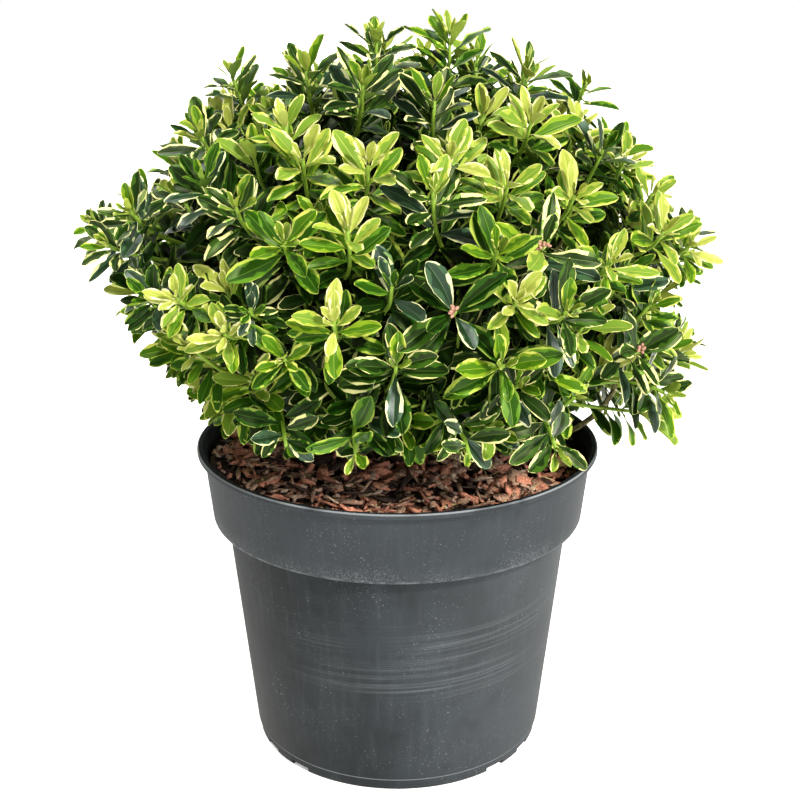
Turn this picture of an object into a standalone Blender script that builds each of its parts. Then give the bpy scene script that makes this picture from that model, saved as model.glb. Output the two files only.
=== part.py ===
"""Potted Japanese spindle: a dense variegated evergreen shrub in a round nursery pot.

Metres, +Z up. The pot's flat underside is centred on the origin, and the side that faces
-Y is the front. A short trunk stands on the bark mulch. Boughs spread from it, and each
bough's tip carries one mass of foliage: a stem, the shoots that fork from it, and leaves
in crossed pairs, fused into one solid that keeps to its own wedge of the crown.
"""

import math
import random

import bmesh
import bpy
from mathutils import Matrix, Vector, noise
from mathutils.bvhtree import BVHTree

# Clearance between solids that touch on the real plant
GAP = 0.0003
# Edges shorter than this would vanish in 32-bit numbers
SHORTEST_EDGE = 1e-7
SEED = 27

# Pot
RIM_RADIUS = 0.140
POT_HEIGHT = 0.220
LIP_HEIGHT = 0.0038
LIP_WIDTH = 0.0038
COLLAR_TOP_RADIUS = 0.1354
COLLAR_FOOT_RADIUS = 0.1304
COLLAR_FOOT_HEIGHT = 0.1675
BODY_TOP_RADIUS = 0.1205
FOOT_STEP_RADIUS = 0.1038
FOOT_STEP_HEIGHT = 0.0087
BASE_RADIUS = 0.1022
WALL = 0.0021
FLOOR_THICKNESS = 0.0026
ROUND_SEGMENTS = 36
NOTCH_HEIGHT = 0.0038
NOTCH_WIDTH = 0.016
NOTCH_DEPTH = 0.011
NOTCH_FIRST = math.radians(42.0)
NOTCH_STEP = math.radians(19.0)
NOTCHES_A_SIDE = 6

# Compost and bark mulch
MULCH_HEIGHT = 0.204
MULCH_HEAP = 0.005
MULCH_LUMP = 0.0022
MULCH_LUMP_SCALE = 60.0
MULCH_FLAT_RADIUS = 0.03
MULCH_FLAT_EDGE = 0.04
MULCH_RINGS = (0.030, 0.064, 0.098, 0.120)

# Crown: how far the leaf tips reach from its middle, by elevation in degrees
CROWN_HEIGHT = 0.300
CROWN_OUTLINE = (
    (-40.0, 0.152),
    (-20.0, 0.176),
    (0.0, 0.198),
    (18.0, 0.229),
    (40.0, 0.210),
    (60.0, 0.210),
    (90.0, 0.212),
)
CROWN_LOBE = 0.006
CROWN_LOWEST = math.radians(-33.0)
# The lower crown leans to the right, fully so this many degrees under its start
CROWN_LEAN = 0.034
CROWN_LEAN_START = 12.0
CROWN_LEAN_RANGE = 30.0
# Lowest height of the leaves at the middle, and its rise with the distance from there
SKIRT_HEIGHT = 0.2135
SKIRT_RISE = 0.105
SKIRT_RISE_FRONT = 0.28
SKIRT_RISE_LEFT = 0.19

# Trunk and boughs
TRUNK_RADIUS = 0.0105
TRUNK_FLARE = 0.0085
TRUNK_FLARE_HEIGHT = 0.007
TRUNK_HEIGHT = 0.036
TRUNK_LEAN = 0.003
TRUNK_BULGE = 0.18
TRUNK_SHOULDER = 0.7
TRUNK_SHOULDER_DEPTH = 0.55
TRUNK_SIDES = 12
TRUNK_ROOTS = 5
# Wider than the gap, because a flat face lies closer than its corners do
TRUNK_CLEARANCE = 0.000405
BOUGH_SIDES = 5
BOUGH_RINGS = 6
BOUGH_RADIUS = 0.0039
BRANCH_RADIUS = 0.0030
BOUGH_TIP_RADIUS = 0.0021
BOUGH_END = 0.086
# Where a bough's two inner control points lie, as shares of its span
BOUGH_LEAVING_SHARE = 0.40
BOUGH_ARRIVING_SHARE = 0.30
BOUGH_ARRIVING_LIFT = 0.35
LEADER_START = 0.008
LEADER_LEAVING = Vector((0.12, 0.05, 1.0))
# Each in turn for the middle boughs: start under the trunk's head, and lift as they leave
MIDDLE_STARTS = (0.021, 0.013)
MIDDLE_LIFTS = (0.95, 0.55)
UPPER_FIRST_FORK = 0.28
UPPER_FORK_STEP = 0.09
UPPER_LIFT = 0.4
SKIRT_FORK = 0.36
SKIRT_DROP = 0.25
# The stem that shows at the right: it runs out low over the mulch, then turns up
LOW_STEM_FOOT_HEIGHT = 0.2245
LOW_STEM_REST = (
    Vector((0.060, -0.004, 0.2115)),
    Vector((0.128, -0.006, 0.2080)),
    Vector((0.1505, -0.002, 0.2560)),
)

# Foliage masses: elevation of each ring of masses, how many, and the first azimuth
RING_SKIRT = (-10.0, 8, 0.0)
RING_MIDDLE = (27.0, 8, 22.5)
RING_UPPER = (59.0, 4, 40.0)
MASS_TURN = 5.0
CORE_DEPTH = 0.112
CORE_RADIUS = 0.052
CORE_COVER = 0.066
CORE_INSIDE = 0.090
CORE_LUMP = 0.22
CORE_LUMP_SCALE = 1.7
CORE_SMALLEST = 0.006
CORE_STEP = 0.001
CORE_OVER_SKIRT = 0.008
CORE_MARGIN = 0.002
CORE_SHRINK = 0.93
CORE_TRIES = 12

# Shoots and leaves, larger than life because there are fewer of them
SHOOTS = 124
SHOOT_SCATTER = 0.05
SHOOT_LEANS = (
    # elevation on the crown, lean from upright, both in degrees
    (-33.0, 112.0),
    (-18.0, 84.0),
    (0.0, 46.0),
    (20.0, 25.0),
    (45.0, 14.0),
    (90.0, 3.0),
)
SHOOT_OVER_SKIRT = 0.010
SHOOT_RADIUS = 0.0014
SHOOT_RINGS = 3
STEM_RADIUS = 0.0021
PAIR_DISTANCES = (0.000, 0.012, 0.025)
PAIR_SPREADS = (34.0, 58.0, 76.0)
PAIR_SPREAD_RANGE = 6.0
PAIR_STAGGER = 0.0006
PAIR_SEAT = 0.001
LEAF_LENGTH = 0.049
LEAF_WIDTH = 0.020
LEAF_THICKNESS = 0.0011
LEAF_CAMBER = 0.0022
LEAF_FOLD = 0.0006
LEAF_TIP = 0.30
LEAF_BROAD_AT = 0.54
LEAF_RIDGE_AT = 0.50
LEAF_COVER = 0.92
LEAF_SUNK = 0.0008
LEAF_SHARES = (1.0, 0.85, 0.70)
LEAF_SWINGS = (0.0, 28.0, -28.0, 52.0, -52.0)
LEAF_TURNS = (0.0, 0.3, 0.6, -0.25)
CELL_MARGIN = 0.00025

CROWN_MIDDLE = Vector((0.0, 0.0, CROWN_HEIGHT))
UP = Vector((0.0, 0.0, 1.0))


def clear_scene():
    for old in list(bpy.data.objects):
        bpy.data.objects.remove(old, do_unlink=True)


def make_material(name, color, roughness, metallic=0.0):
    material = bpy.data.materials.new(name)
    material.use_nodes = True
    shader = material.node_tree.nodes["Principled BSDF"]
    shader.inputs["Base Color"].default_value = (*color, 1.0)
    shader.inputs["Roughness"].default_value = roughness
    shader.inputs["Metallic"].default_value = metallic
    material.diffuse_color = (*color, 1.0)
    return material


def new_object(name, points, faces, material=None):
    """An object whose place is in its mesh, linked to the scene."""
    mesh = bpy.data.meshes.new(name)
    mesh.from_pydata([tuple(point) for point in points], [], faces)
    mesh.update()
    thing = bpy.data.objects.new(name, mesh)
    if material:
        mesh.materials.append(material)
    bpy.context.scene.collection.objects.link(thing)
    return thing


def shade_round(thing, angle=math.radians(35.0)):
    thing.data.shade_smooth()
    thing.data.set_sharp_from_angle(angle=angle)


def turned(profile, segments):
    """Points and faces of a profile turned about Z. Its first and last points lie on the axis."""
    points = [Vector((0.0, 0.0, profile[0][1]))]
    for radius, height in profile[1:-1]:
        for index in range(segments):
            angle = 2.0 * math.pi * index / segments
            points.append(Vector((radius * math.cos(angle), radius * math.sin(angle), height)))
    last = len(points)
    points.append(Vector((0.0, 0.0, profile[-1][1])))
    rings = len(profile) - 2
    faces = []
    for index in range(segments):
        after = (index + 1) % segments
        faces.append((0, 1 + after, 1 + index))
        for ring in range(rings - 1):
            low = 1 + ring * segments
            high = low + segments
            faces.append((low + index, low + after, high + after, high + index))
        top = 1 + (rings - 1) * segments
        faces.append((last, top + index, top + after))
    return points, faces


def shells_of(work):
    """The groups of faces that hang together across edges, the largest first."""
    left = set(work.faces)
    shells = []
    while left:
        shell = []
        queue = [left.pop()]
        while queue:
            face = queue.pop()
            shell.append(face)
            for edge in face.edges:
                for other in edge.link_faces:
                    if other in left:
                        left.discard(other)
                        queue.append(other)
        shells.append(shell)
    return sorted(shells, key=len, reverse=True)


def keep_largest_shell(mesh):
    """Drops loose scraps, and fills sealed hollows by dropping their shells."""
    work = bmesh.new()
    work.from_mesh(mesh)
    bmesh.ops.triangulate(work, faces=work.faces)
    scraps = [face for shell in shells_of(work)[1:] for face in shell]
    bmesh.ops.delete(work, geom=scraps, context="FACES")
    work.to_mesh(mesh)
    work.free()


def is_closed(mesh):
    """Whether every edge joins two faces, and no face is a sliver with no area."""
    work = bmesh.new()
    work.from_mesh(mesh)
    closed = all(edge.is_manifold for edge in work.edges)
    closed = closed and all(vertex.is_manifold for vertex in work.verts)
    closed = closed and all(edge.calc_length() > SHORTEST_EDGE for edge in work.edges)
    work.free()
    return closed


def boolean_mesh(thing, operation, solver, operand=None, collection=None):
    """The mesh that one Boolean makes of an object."""
    cut = thing.modifiers.new("join", "BOOLEAN")
    cut.operation = operation
    cut.solver = solver
    if collection:
        cut.operand_type = "COLLECTION"
        cut.collection = collection
    else:
        cut.object = operand
    graph = bpy.context.evaluated_depsgraph_get()
    mesh = bpy.data.meshes.new_from_object(thing.evaluated_get(graph))
    thing.modifiers.clear()
    return mesh


def apply_boolean(thing, operation, operand=None, collection=None):
    """Applies one Boolean, and takes the second solver where the first leaves it open."""
    for solver in ("EXACT", "MANIFOLD"):
        mesh = boolean_mesh(thing, operation, solver, operand, collection)
        keep_largest_shell(mesh)
        if is_closed(mesh):
            break
    old = thing.data
    thing.data = mesh
    bpy.data.meshes.remove(old)
    mesh.name = thing.name


def remove_object(thing):
    mesh = thing.data
    bpy.data.objects.remove(thing, do_unlink=True)
    bpy.data.meshes.remove(mesh)


# Pot


def pot_outside():
    """Outer profile of the pot, from the middle of its underside up to the top of its lip."""
    lip_foot = POT_HEIGHT - LIP_HEIGHT
    round_edge = 0.0008
    return [
        (0.0, 0.0),
        (BASE_RADIUS - 0.014, 0.0),
        (BASE_RADIUS - 0.0012, 0.0),
        (BASE_RADIUS, 0.0014),
        (FOOT_STEP_RADIUS - 0.0007, FOOT_STEP_HEIGHT - 0.0004),
        (FOOT_STEP_RADIUS, FOOT_STEP_HEIGHT),
        (BODY_TOP_RADIUS, COLLAR_FOOT_HEIGHT - 0.002),
        (BODY_TOP_RADIUS + 0.0012, COLLAR_FOOT_HEIGHT - 0.0005),
        (COLLAR_FOOT_RADIUS - 0.0022, COLLAR_FOOT_HEIGHT + 0.0002),
        (COLLAR_FOOT_RADIUS, COLLAR_FOOT_HEIGHT + 0.0026),
        (COLLAR_TOP_RADIUS, lip_foot - 0.0006),
        (RIM_RADIUS - round_edge, lip_foot),
        (RIM_RADIUS, lip_foot + round_edge),
        (RIM_RADIUS, POT_HEIGHT - round_edge),
        (RIM_RADIUS - round_edge, POT_HEIGHT),
    ]


def pot_inside(offset=0.0):
    """Inner profile of the pot, from under its lip down to its floor, moved in by an offset."""
    lip_foot = POT_HEIGHT - LIP_HEIGHT
    return [
        (COLLAR_TOP_RADIUS - WALL - offset, lip_foot - 0.001),
        (COLLAR_FOOT_RADIUS - WALL - offset, COLLAR_FOOT_HEIGHT + 0.0034 + offset),
        (BODY_TOP_RADIUS - WALL - offset, COLLAR_FOOT_HEIGHT + 0.0016 + offset),
        (FOOT_STEP_RADIUS - WALL - offset, FOOT_STEP_HEIGHT),
        (BASE_RADIUS - WALL - offset, FLOOR_THICKNESS + offset),
    ]


def make_notch(azimuth):
    """A block that cuts one drain notch through the foot and into the floor's edge."""
    middle = BASE_RADIUS - NOTCH_DEPTH / 2.0 + 0.001
    bpy.ops.mesh.primitive_cube_add(size=1.0)
    notch = bpy.context.object
    notch.name = "notch"
    place = Matrix.Rotation(azimuth, 4, "Z") @ Matrix.Translation((middle, 0.0, 0.0))
    size = Matrix.Diagonal((NOTCH_DEPTH, NOTCH_WIDTH, 2.0 * NOTCH_HEIGHT, 1.0))
    notch.data.transform(place @ size)
    return notch


def notch_azimuths():
    """The drain notches run round both sides and leave the front and the back clear."""
    front = math.radians(-90.0)
    for side in (-1.0, 1.0):
        for index in range(NOTCHES_A_SIDE):
            yield front + side * (NOTCH_FIRST + index * NOTCH_STEP)


def make_pot():
    plastic = make_material("pot_plastic", (0.062, 0.067, 0.072), 0.55)
    inner_lip = [(RIM_RADIUS - LIP_WIDTH, POT_HEIGHT)]
    profile = pot_outside() + inner_lip + pot_inside() + [(0.0, FLOOR_THICKNESS)]
    points, faces = turned(profile, ROUND_SEGMENTS)
    pot = new_object("pot", points, faces, plastic)
    for azimuth in notch_azimuths():
        notch = make_notch(azimuth)
        apply_boolean(pot, "DIFFERENCE", operand=notch)
        remove_object(notch)
    shade_round(pot)
    return pot


# Compost and mulch


def mulch_lift(x, y):
    """Height of the mulch above its level: flat round the trunk, heaped at the left wall."""
    away = (math.hypot(x, y) - MULCH_FLAT_RADIUS) / MULCH_FLAT_EDGE
    away = min(1.0, max(0.0, away))
    lump = noise.noise(Vector((x, y, 0.0)) * MULCH_LUMP_SCALE + Vector((3.1, 8.7, 1.3)))
    heap = max(0.0, -x / RIM_RADIUS) ** 2
    return away * (MULCH_LUMP * lump + MULCH_HEAP * heap)


def make_mulch():
    bark = make_material("bark_mulch", (0.085, 0.036, 0.022), 0.85)
    walls = pot_inside(GAP)
    floor = FLOOR_THICKNESS + GAP
    foot = NOTCH_HEIGHT + GAP
    share = (MULCH_HEIGHT - walls[1][1]) / (walls[0][1] - walls[1][1])
    edge = walls[1][0] + share * (walls[0][0] - walls[1][0])
    sides = [
        (0.0, floor),
        (BASE_RADIUS - NOTCH_DEPTH - 0.002, floor),
        (BASE_RADIUS - NOTCH_DEPTH, foot),
        (walls[4][0], foot),
        walls[3],
        walls[2],
        walls[1],
    ]
    top = [(edge, MULCH_HEIGHT)]
    top += [(radius, MULCH_HEIGHT) for radius in reversed(MULCH_RINGS)]
    top += [(0.0, MULCH_HEIGHT)]

    points, faces = turned(sides + top, ROUND_SEGMENTS)
    first_top = 1 + (len(sides) - 1) * ROUND_SEGMENTS
    for point in points[first_top:-1]:
        point.z += mulch_lift(point.x, point.y)
    mulch = new_object("compost_and_mulch", points, faces, bark)
    shade_round(mulch)
    return mulch


# Crown outline


def direction_of(elevation, azimuth):
    flat = math.cos(elevation)
    return Vector(
        (flat * math.cos(azimuth), flat * math.sin(azimuth), math.sin(elevation))
    )


def eased(stops, place):
    """The value at a place between (place, value) stops, eased from one to the next."""
    for (low, near), (high, far) in zip(stops, stops[1:]):
        if place <= high:
            share = max(0.0, (place - low) / (high - low))
            return near + share * share * (3.0 - 2.0 * share) * (far - near)
    return stops[-1][1]


def reach(direction):
    """How far leaf tips reach from the crown's middle: its outline with soft lobes."""
    elevation = math.degrees(math.asin(max(-1.0, min(1.0, direction.z))))
    azimuth = math.atan2(direction.y, direction.x)
    flat = math.cos(math.radians(elevation))
    lobes = math.sin(3.0 * azimuth + 0.6) + math.sin(5.0 * azimuth + 4.0 * direction.z)
    low = min(1.0, max(0.0, (CROWN_LEAN_START - elevation) / CROWN_LEAN_RANGE))
    lean = CROWN_LEAN * direction.x * low
    return eased(CROWN_OUTLINE, elevation) + CROWN_LOBE * 0.5 * flat * lobes + lean


def skirt_height(x, y):
    """Lowest height of a leaf: just over the mulch and the rim, higher at front and left."""
    out = math.hypot(x, y)
    front = max(0.0, -y / out) ** 2 if out > 0.0 else 0.0
    left = max(0.0, -x / out) ** 2 if out > 0.0 else 0.0
    rise = SKIRT_RISE + front * (SKIRT_RISE_FRONT - SKIRT_RISE)
    rise += left * (SKIRT_RISE_LEFT - SKIRT_RISE)
    return SKIRT_HEIGHT + rise * out


# Limbs


def curve_point(controls, share):
    """A point on the Bezier curve through the first and last control points."""
    points = [point.copy() for point in controls]
    while len(points) > 1:
        points = [near.lerp(far, share) for near, far in zip(points, points[1:])]
    return points[0]


def curve_points(controls, rings):
    return [curve_point(controls, ring / (rings - 1)) for ring in range(rings)]


def tube(path, radii, sides, first=None, last=None):
    """Points and faces of a closed tube along a path, its flat ends square to two headings."""
    points = []
    normal = None
    for index, middle in enumerate(path):
        ahead = path[min(index + 1, len(path) - 1)]
        behind = path[max(index - 1, 0)]
        along = (ahead - behind).normalized()
        if first and index == 0:
            along = first
        if last and index == len(path) - 1:
            along = last
        if normal is None:
            normal = along.orthogonal().normalized()
        normal = (normal - along * normal.dot(along)).normalized()
        side = along.cross(normal)
        for corner in range(sides):
            angle = 2.0 * math.pi * corner / sides
            spoke = normal * math.cos(angle) + side * math.sin(angle)
            points.append(middle + spoke * radii[index])
    faces = [tuple(range(sides - 1, -1, -1))]
    for index in range(len(path) - 1):
        low = index * sides
        high = low + sides
        for corner in range(sides):
            after = (corner + 1) % sides
            faces.append((low + corner, low + after, high + after, high + corner))
    top = (len(path) - 1) * sides
    faces.append(tuple(range(top, top + sides)))
    return points, faces


def trunk_head():
    return Vector((TRUNK_LEAN, 0.0, MULCH_HEIGHT + GAP + TRUNK_HEIGHT))


def make_trunk(material):
    """A short trunk with a root flare, cut flat at the mulch and rounded off at its fork."""
    heights = (0.0, 0.25, 0.5, 1.0)
    foot = MULCH_HEIGHT + GAP
    rings = [TRUNK_FLARE_HEIGHT * share for share in heights]
    rings += [TRUNK_HEIGHT * share for share in (0.4, 0.65, 0.82, 0.93)]
    points = []
    for height in rings:
        lean = TRUNK_LEAN * height / TRUNK_HEIGHT
        flare = TRUNK_FLARE * max(0.0, 1.0 - height / TRUNK_FLARE_HEIGHT) ** 2
        share = height / TRUNK_HEIGHT
        shoulder = max(0.0, share - TRUNK_SHOULDER) / (1.0 - TRUNK_SHOULDER)
        waist = TRUNK_RADIUS * (1.0 + TRUNK_BULGE * math.sin(math.pi * share))
        radius = waist * math.sqrt(max(0.0, 1.0 - TRUNK_SHOULDER_DEPTH * shoulder**2))
        for corner in range(TRUNK_SIDES):
            angle = 2.0 * math.pi * corner / TRUNK_SIDES
            roots = 0.65 + 0.35 * math.cos(TRUNK_ROOTS * angle)
            out = radius + flare * roots
            points.append(
                Vector(
                    (lean + out * math.cos(angle), out * math.sin(angle), foot + height)
                )
            )
    faces = [tuple(range(TRUNK_SIDES - 1, -1, -1))]
    for ring in range(len(rings) - 1):
        low = ring * TRUNK_SIDES
        high = low + TRUNK_SIDES
        for corner in range(TRUNK_SIDES):
            after = (corner + 1) % TRUNK_SIDES
            faces.append((low + corner, low + after, high + after, high + corner))
    top = (len(rings) - 1) * TRUNK_SIDES
    crest = len(points)
    points.append(trunk_head())
    for corner in range(TRUNK_SIDES):
        after = (corner + 1) % TRUNK_SIDES
        faces.append((top + corner, top + after, crest))
    trunk = new_object("trunk", points, faces, material)
    shade_round(trunk)
    return trunk


class Limb:
    """One bough: its controls, its radii and the mass that it carries."""

    def __init__(self, name, controls, foot_radius, parent):
        self.name = name
        self.controls = controls
        self.foot_radius = foot_radius
        self.parent = parent
        self.object = None

    def radius(self, share):
        return self.foot_radius + share * (BOUGH_TIP_RADIUS - self.foot_radius)

    def mesh(self, extra=0.0):
        path = curve_points(self.controls, BOUGH_RINGS)
        radii = [
            self.radius(ring / (BOUGH_RINGS - 1)) + extra for ring in range(BOUGH_RINGS)
        ]
        return tube(path, radii, BOUGH_SIDES, last=self.heading())

    def tip(self):
        return self.controls[-1]

    def heading(self):
        return (self.controls[-1] - self.controls[-2]).normalized()


class Mass:
    """One mass of foliage: its name, its direction from the crown's middle and its limb."""

    def __init__(self, name, direction):
        self.name = name
        self.direction = direction
        self.limb = None
        self.shoots = []


def ring_of_masses(kind, ring, rng):
    """The masses of one ring, turned a little at random, counted from the right-hand side."""
    elevation, count, first = ring
    masses = []
    for index in range(count):
        azimuth = first + 360.0 * index / count + rng.uniform(-MASS_TURN, MASS_TURN)
        lift = elevation + rng.uniform(-0.6, 0.6) * MASS_TURN
        direction = direction_of(math.radians(lift), math.radians(azimuth))
        masses.append(Mass(f"foliage_{kind}_{index + 1}", direction))
    return masses


def bough_controls(start, leaving, mass):
    """A bough leaves its parent one way and arrives pointing out into its mass."""
    tip = CROWN_MIDDLE + mass.direction * BOUGH_END
    span = (tip - start).length
    arriving = (mass.direction + UP * BOUGH_ARRIVING_LIFT).normalized()
    return [
        start,
        start + leaving.normalized() * span * BOUGH_LEAVING_SHARE,
        tip - arriving * span * BOUGH_ARRIVING_SHARE,
        tip,
    ]


def plan_limbs(skirt, middle, upper, top):
    """Every mass's limb. A limb starts on its parent's axis, and is cut clear of it later."""
    limbs = []
    head = trunk_head()

    leader_start = head - UP * LEADER_START
    controls = bough_controls(leader_start, LEADER_LEAVING, top)
    leader = Limb("bough_leader", controls, BOUGH_RADIUS, None)
    top.limb = leader
    limbs.append(leader)

    for index, mass in enumerate(middle):
        start = head - UP * MIDDLE_STARTS[index % 2]
        flat = Vector((mass.direction.x, mass.direction.y, 0.0)).normalized()
        leaving = flat + UP * MIDDLE_LIFTS[index % 2]
        controls = bough_controls(start, leaving, mass)
        mass.limb = Limb(f"bough_middle_{index + 1}", controls, BOUGH_RADIUS, None)
        limbs.append(mass.limb)

    for index, mass in enumerate(upper):
        start = curve_point(leader.controls, UPPER_FIRST_FORK + UPPER_FORK_STEP * index)
        controls = bough_controls(start, mass.direction + UP * UPPER_LIFT, mass)
        mass.limb = Limb(f"bough_upper_{index + 1}", controls, BRANCH_RADIUS, leader)
        limbs.append(mass.limb)

    for index, mass in enumerate(skirt):
        if index == 0:
            parent = None
            controls = [Vector((head.x, 0.0, LOW_STEM_FOOT_HEIGHT)), *LOW_STEM_REST]
        else:
            parent = middle[index - 1].limb
            start = curve_point(parent.controls, SKIRT_FORK)
            controls = bough_controls(start, mass.direction - UP * SKIRT_DROP, mass)
        mass.limb = Limb(f"bough_skirt_{index + 1}", controls, BRANCH_RADIUS, parent)
        limbs.append(mass.limb)
    return limbs


def make_limbs(limbs, trunk, material):
    """Each limb's tube, cut clear of the trunk or of the bough that it forks from."""
    trunk_cutter = enlarged_copy(trunk, TRUNK_CLEARANCE)
    for limb in limbs:
        points, faces = limb.mesh()
        limb.object = new_object(limb.name, points, faces, material)
        if limb.parent:
            cutter_points, cutter_faces = limb.parent.mesh(extra=GAP)
            cutter = new_object("cutter", cutter_points, cutter_faces)
        else:
            cutter = trunk_cutter
        apply_boolean(limb.object, "DIFFERENCE", operand=cutter)
        if limb.parent:
            remove_object(cutter)
        shade_round(limb.object)
    remove_object(trunk_cutter)


def enlarged_copy(thing, extra):
    """A copy whose points are moved out along their normals."""
    mesh = thing.data.copy()
    normals = [vertex.normal.copy() for vertex in mesh.vertices]
    for vertex, normal in zip(mesh.vertices, normals):
        vertex.co += normal * extra
    copy = bpy.data.objects.new("cutter", mesh)
    bpy.context.scene.collection.objects.link(copy)
    return copy


def tree_of(points, faces):
    return BVHTree.FromPolygons([tuple(point) for point in points], faces)


# Foliage


def shoot_directions():
    """Directions of the shoot tips, spread evenly over the crown by the golden angle."""
    rng = random.Random(SEED)
    golden = math.pi * (3.0 - math.sqrt(5.0))
    lowest = math.sin(CROWN_LOWEST)
    for index in range(SHOOTS):
        height = 1.0 - (1.0 - lowest) * (index + 0.5) / SHOOTS
        elevation = math.asin(height) + rng.uniform(-SHOOT_SCATTER, SHOOT_SCATTER)
        elevation = max(CROWN_LOWEST, elevation)
        azimuth = index * golden + rng.uniform(-SHOOT_SCATTER, SHOOT_SCATTER)
        yield direction_of(elevation, azimuth)


def in_own_space(mass, masses, point, margin):
    """Whether a point lies in the mass's wedge, inside the crown and above the skirt."""
    arm = point - CROWN_MIDDLE
    for other in masses:
        if other is mass:
            continue
        border = (mass.direction - other.direction).normalized()
        if arm.dot(border) < margin:
            return False
    if arm.length > reach(arm.normalized()) + 0.0005:
        return False
    return point.z > skirt_height(point.x, point.y)


def leaf_shape(root, along, normal, length):
    """A leaf of eight faces: an obovate blade with a blunt tip and a ridge, on its root."""
    side = along.cross(normal).normalized()
    width = LEAF_WIDTH * length / LEAF_LENGTH
    broad = root + along * length * LEAF_BROAD_AT + normal * LEAF_CAMBER
    tip = root + along * length - normal * LEAF_CAMBER
    ridge = root + along * length * LEAF_RIDGE_AT + normal * (LEAF_CAMBER - LEAF_FOLD)
    points = [
        root,
        broad + side * width / 2.0,
        tip + side * width * LEAF_TIP / 2.0,
        tip - side * width * LEAF_TIP / 2.0,
        broad - side * width / 2.0,
        ridge - normal * LEAF_THICKNESS,
    ]
    upper = [(0, 1, 4), (1, 2, 3), (1, 3, 4)]
    lower = [(1, 0, 5), (2, 1, 5), (3, 2, 5), (4, 3, 5), (0, 4, 5)]
    return points, upper + lower


def core_shape(mass, masses, limb_trees, rng):
    """The dense inner foliage: a lumpy ball, drawn in to stay inside the mass's space."""
    middle = CROWN_MIDDLE + mass.direction * CORE_DEPTH
    work = bmesh.new()
    bmesh.ops.create_icosphere(work, subdivisions=1, radius=1.0)
    spokes = [vertex.co.normalized() for vertex in work.verts]
    faces = [tuple(vertex.index for vertex in face.verts) for face in work.faces]
    work.free()
    shift = Vector((rng.uniform(0, 9), rng.uniform(0, 9), rng.uniform(0, 9)))
    points = []
    for spoke in spokes:
        lump = 1.0 + CORE_LUMP * noise.noise(spoke * CORE_LUMP_SCALE + shift)
        size = CORE_RADIUS * lump
        while size > CORE_SMALLEST:
            point = middle + spoke * size
            arm = point - CROWN_MIDDLE
            covered = arm.length < reach(arm.normalized()) - CORE_COVER
            above = point.z > skirt_height(point.x, point.y) + CORE_OVER_SKIRT
            own = in_own_space(mass, masses, point, CORE_MARGIN)
            if covered and above and own and arm.length > CORE_INSIDE:
                break
            size -= CORE_STEP
        points.append(middle + spoke * size)
    for _ in range(CORE_TRIES):
        tree = tree_of(points, faces)
        if not any(tree.overlap(other) for other in limb_trees):
            break
        points = [middle + (point - middle) * CORE_SHRINK for point in points]
    return middle, points, faces


def shoot_heading(direction):
    """Which way a shoot points: nearly up on top, out at the sides, down at the skirt."""
    elevation = math.degrees(math.asin(direction.z))
    lean = math.radians(eased(SHOOT_LEANS, elevation))
    out = Vector((direction.x, direction.y, 0.0)).normalized()
    return UP * math.cos(lean) + out * math.sin(lean)


def shoot_path(start, direction):
    """A shoot's curve from the heart of its mass out to just under the crown's outline."""
    heading = shoot_heading(direction)
    cover = LEAF_LENGTH * math.cos(math.radians(PAIR_SPREADS[0])) * LEAF_COVER
    end = CROWN_MIDDLE + direction * reach(direction) - heading * cover
    end.z = max(end.z, skirt_height(end.x, end.y) + SHOOT_OVER_SKIRT)
    span = (end - start).length
    return [
        start,
        start.lerp(end, 0.4),
        end - heading * span * 0.35,
        end,
    ]


def place_on(path_controls, distance):
    """The point at a distance back from a curve's end, and the heading there."""
    steps = 40
    points = curve_points(path_controls, steps + 1)
    travelled = 0.0
    for index in range(steps, 0, -1):
        piece = points[index] - points[index - 1]
        if travelled + piece.length >= distance:
            along = piece.normalized()
            return points[index] - along * (distance - travelled), along
        travelled += piece.length
    return points[0], (points[1] - points[0]).normalized()


def leaf_fits(mass, masses, points, faces, trees):
    """Whether a leaf stays in its mass's space and clear of limbs and other leaves."""
    if not all(in_own_space(mass, masses, point, CELL_MARGIN) for point in points[1:]):
        return False
    tree = tree_of(points, faces)
    return not any(tree.overlap(other) for other in trees)


def grow_leaf(mass, masses, root, along, heading, trees):
    """A leaf that fits, swung round, turned in or made shorter if it has to be, or None."""
    for share in LEAF_SHARES:
        for swing in LEAF_SWINGS:
            swung = Matrix.Rotation(math.radians(swing), 3, heading) @ along
            for turn in LEAF_TURNS:
                pointing = (swung * (1.0 - turn) + heading * turn).normalized()
                normal = (heading - pointing * heading.dot(pointing)).normalized()
                sunk = root - pointing * LEAF_SUNK
                shape = leaf_shape(sunk, pointing, normal, LEAF_LENGTH * share)
                if leaf_fits(mass, masses, *shape, trees):
                    return shape
    return None


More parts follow.
